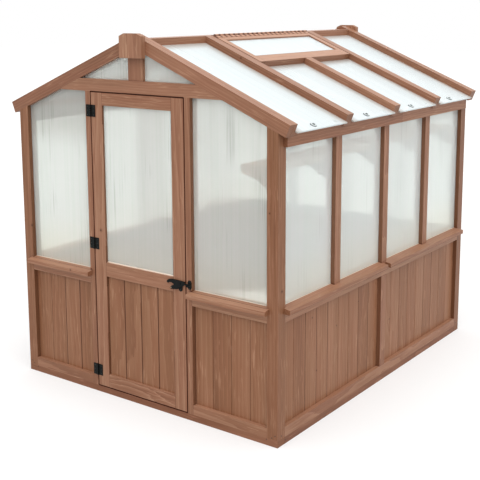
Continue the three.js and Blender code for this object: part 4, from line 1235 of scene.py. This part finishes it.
beads = {
    "doorTone": (240, 226, 210),
    "wallTone": (214, 203, 188),
    "dirt": (206, 180, 156),
    "dirty": (0.5, 0.8, 0.0, 0.6),
    "cloud": (14.0, 3.0, 0.6),  # noises as (scale, detail, roughness)
    "fine": (300.0, 2.0, 0.6),
    "rough": 0.4,
    "roughSpread": 0.2,
    "depth": 0.0030,
    "sunk": 0.0004,  # into the pane
    "endGap": 0.0005,
    "outline": ((0, 0), (1, 0), (1, 0.45), (0.8, 0.75), (0.35, 1), (0, 1)),  # shares of depth and height
    "doorHeight": 0.0075,
    "doorPane": (-0.267, 0.267),
    "doorFace": 1.189,
    "doorFoot": 0.8476,
    "foot": 0.7874,
    "gableHeight": 0.0035,
    "gableFace": 1.176,
    "frontPanes": ((-0.923, -0.404), (0.404, 0.923)),
    "backPanes": ((-0.923, -0.509), (-0.445, -0.031), (0.031, 0.445), (0.509, 0.923)),
    "sideHeight": 0.0030,
    "sideFace": 0.968,
    "sidePanes": ((-1.131, -0.613), (-0.549, -0.031), (0.031, 0.549), (0.613, 1.131)),
}


def beadMaterial(name, tone):
    material, tree = blankMaterial(name)
    place = addNode(tree, "TexCoord").outputs["Object"]
    cloud = noise(tree, place, *beads["cloud"])
    fine = noise(tree, place, *beads["fine"])
    colour = painted(tree, toLinear(*tone), soften(tree, cloud, *beads["dirty"]), beads["dirt"])
    bump = addNode(tree, "Bump", {"Strength": metalSurface["bumpStrength"],
                                  "Distance": metalSurface["bumpDepth"], "Height": fine})
    roughness = plus(tree, times(tree, cloud, beads["roughSpread"]), beads["rough"])
    coatWith(tree, {"Base Color": colour, "Roughness": roughness, "Normal": bump.outputs[0]})
    return material


def beadPiece(name, panes, face, outward, foot, height, turn, material, body):
    # square to the pane, rounded at its upper outer edge
    outline = [(outward * (face + away * beads["depth"] - beads["sunk"]), foot + up * height)
               for away, up in beads["outline"]]
    bm = bmesh.new()
    for low, high in panes:
        extruded(bm, outline, low + beads["endGap"], high - beads["endGap"], turn)
    bmesh.ops.recalc_face_normals(bm, faces=bm.faces)
    addPiece(f"glazing_bead_{name}", bm, material, body)


def makeBeads():
    # pale sealing bead at the foot of each pane
    wallBead = beadMaterial("wallBead", beads["wallTone"])
    doorBead = beadMaterial("doorBead", beads["doorTone"])
    for name, way in (("front", -1), ("back", 1)):
        beadPiece(name, beads[name + "Panes"], beads["gableFace"], way, beads["foot"], beads["gableHeight"],
                  alongX, wallBead, "house")
    beadPiece("door", [beads["doorPane"]], beads["doorFace"], -1, beads["doorFoot"], beads["doorHeight"],
              alongX, doorBead, "door")
    panes = [(-high, -low) for low, high in beads["sidePanes"]]  # run towards -y
    for name, sign in bothSides:
        beadPiece(name, panes, beads["sideFace"], sign, beads["foot"], beads["sideHeight"],
                  alongY, wallBead, "house")


battens = {
    "out": 0.0332,  # front and back of the battens, from the wall's face
    "back": 0.072,
    "chamfer": 0.003,
    "foot": 0.752,
    "railTop": 0.7880,
    "sideFace": 0.995,
    "sideHead": 1.662,
    "sideMembers": ((0, 0.031), (-0.581, 0.032), (0.581, 0.032)),  # middle and half width
    "sideEnd": 1.1305,
    "frontFace": 1.203,
    "frontHead": 1.89,
    "frontStile": (0.3835, 0.4040),
    "frontEnd": 0.9225,
    "smooth": 20,
}


def battenPiece(name, bm, piece, cell, way):
    bmesh.ops.recalc_face_normals(bm, faces=bm.faces)
    material = timberMaterial(name, "framing", "up", piece, cell=cell,
                              runs=[((-wide, -wide, -wide), (wide, wide, battens["railTop"]), way)])
    addPiece(name, bm, material, "house", smooth=battens["smooth"])


def makeBattens():
    # the uprights and rails behind the panes, seen dimly through them
    cut, foot, top = battens["chamfer"], battens["foot"], battens["railTop"]
    for name, sign in bothSides:
        bm = bmesh.new()
        x0, x1 = sorted(sign * (battens["sideFace"] - battens[key]) for key in ("out", "back"))
        for middle, half in battens["sideMembers"]:
            outline = chamfered((x0, middle - half), (x1, middle + half), cut)
            extruded(bm, outline, top, battens["sideHead"], upright)
        extruded(bm, chamfered((x0, foot), (x1, top), cut), -battens["sideEnd"], battens["sideEnd"], alongY)
        battenPiece(f"{name}_inner_battens", bm, 211 if sign < 0 else 217,
                    ("Y", walls["sideMembers"]), "deep")
    bm = bmesh.new()
    y0, y1 = (battens[key] - battens["frontFace"] for key in ("out", "back"))
    inner, outer = battens["frontStile"]
    for sign in (-1, 1):
        x0, x1 = sorted((sign * inner, sign * outer))
        extruded(bm, chamfered((x0, y0), (x1, y1), cut), top, battens["frontHead"], upright)
        x0, x1 = sorted((sign * inner, sign * battens["frontEnd"]))
        extruded(bm, chamfered((y0, foot), (y1, top), cut), x0, x1, alongX)
    battenPiece("front_inner_battens", bm, 223, ("X", walls["backMembers"]), "side")


makeBeads()
makeBattens()
print("beads and battens made")
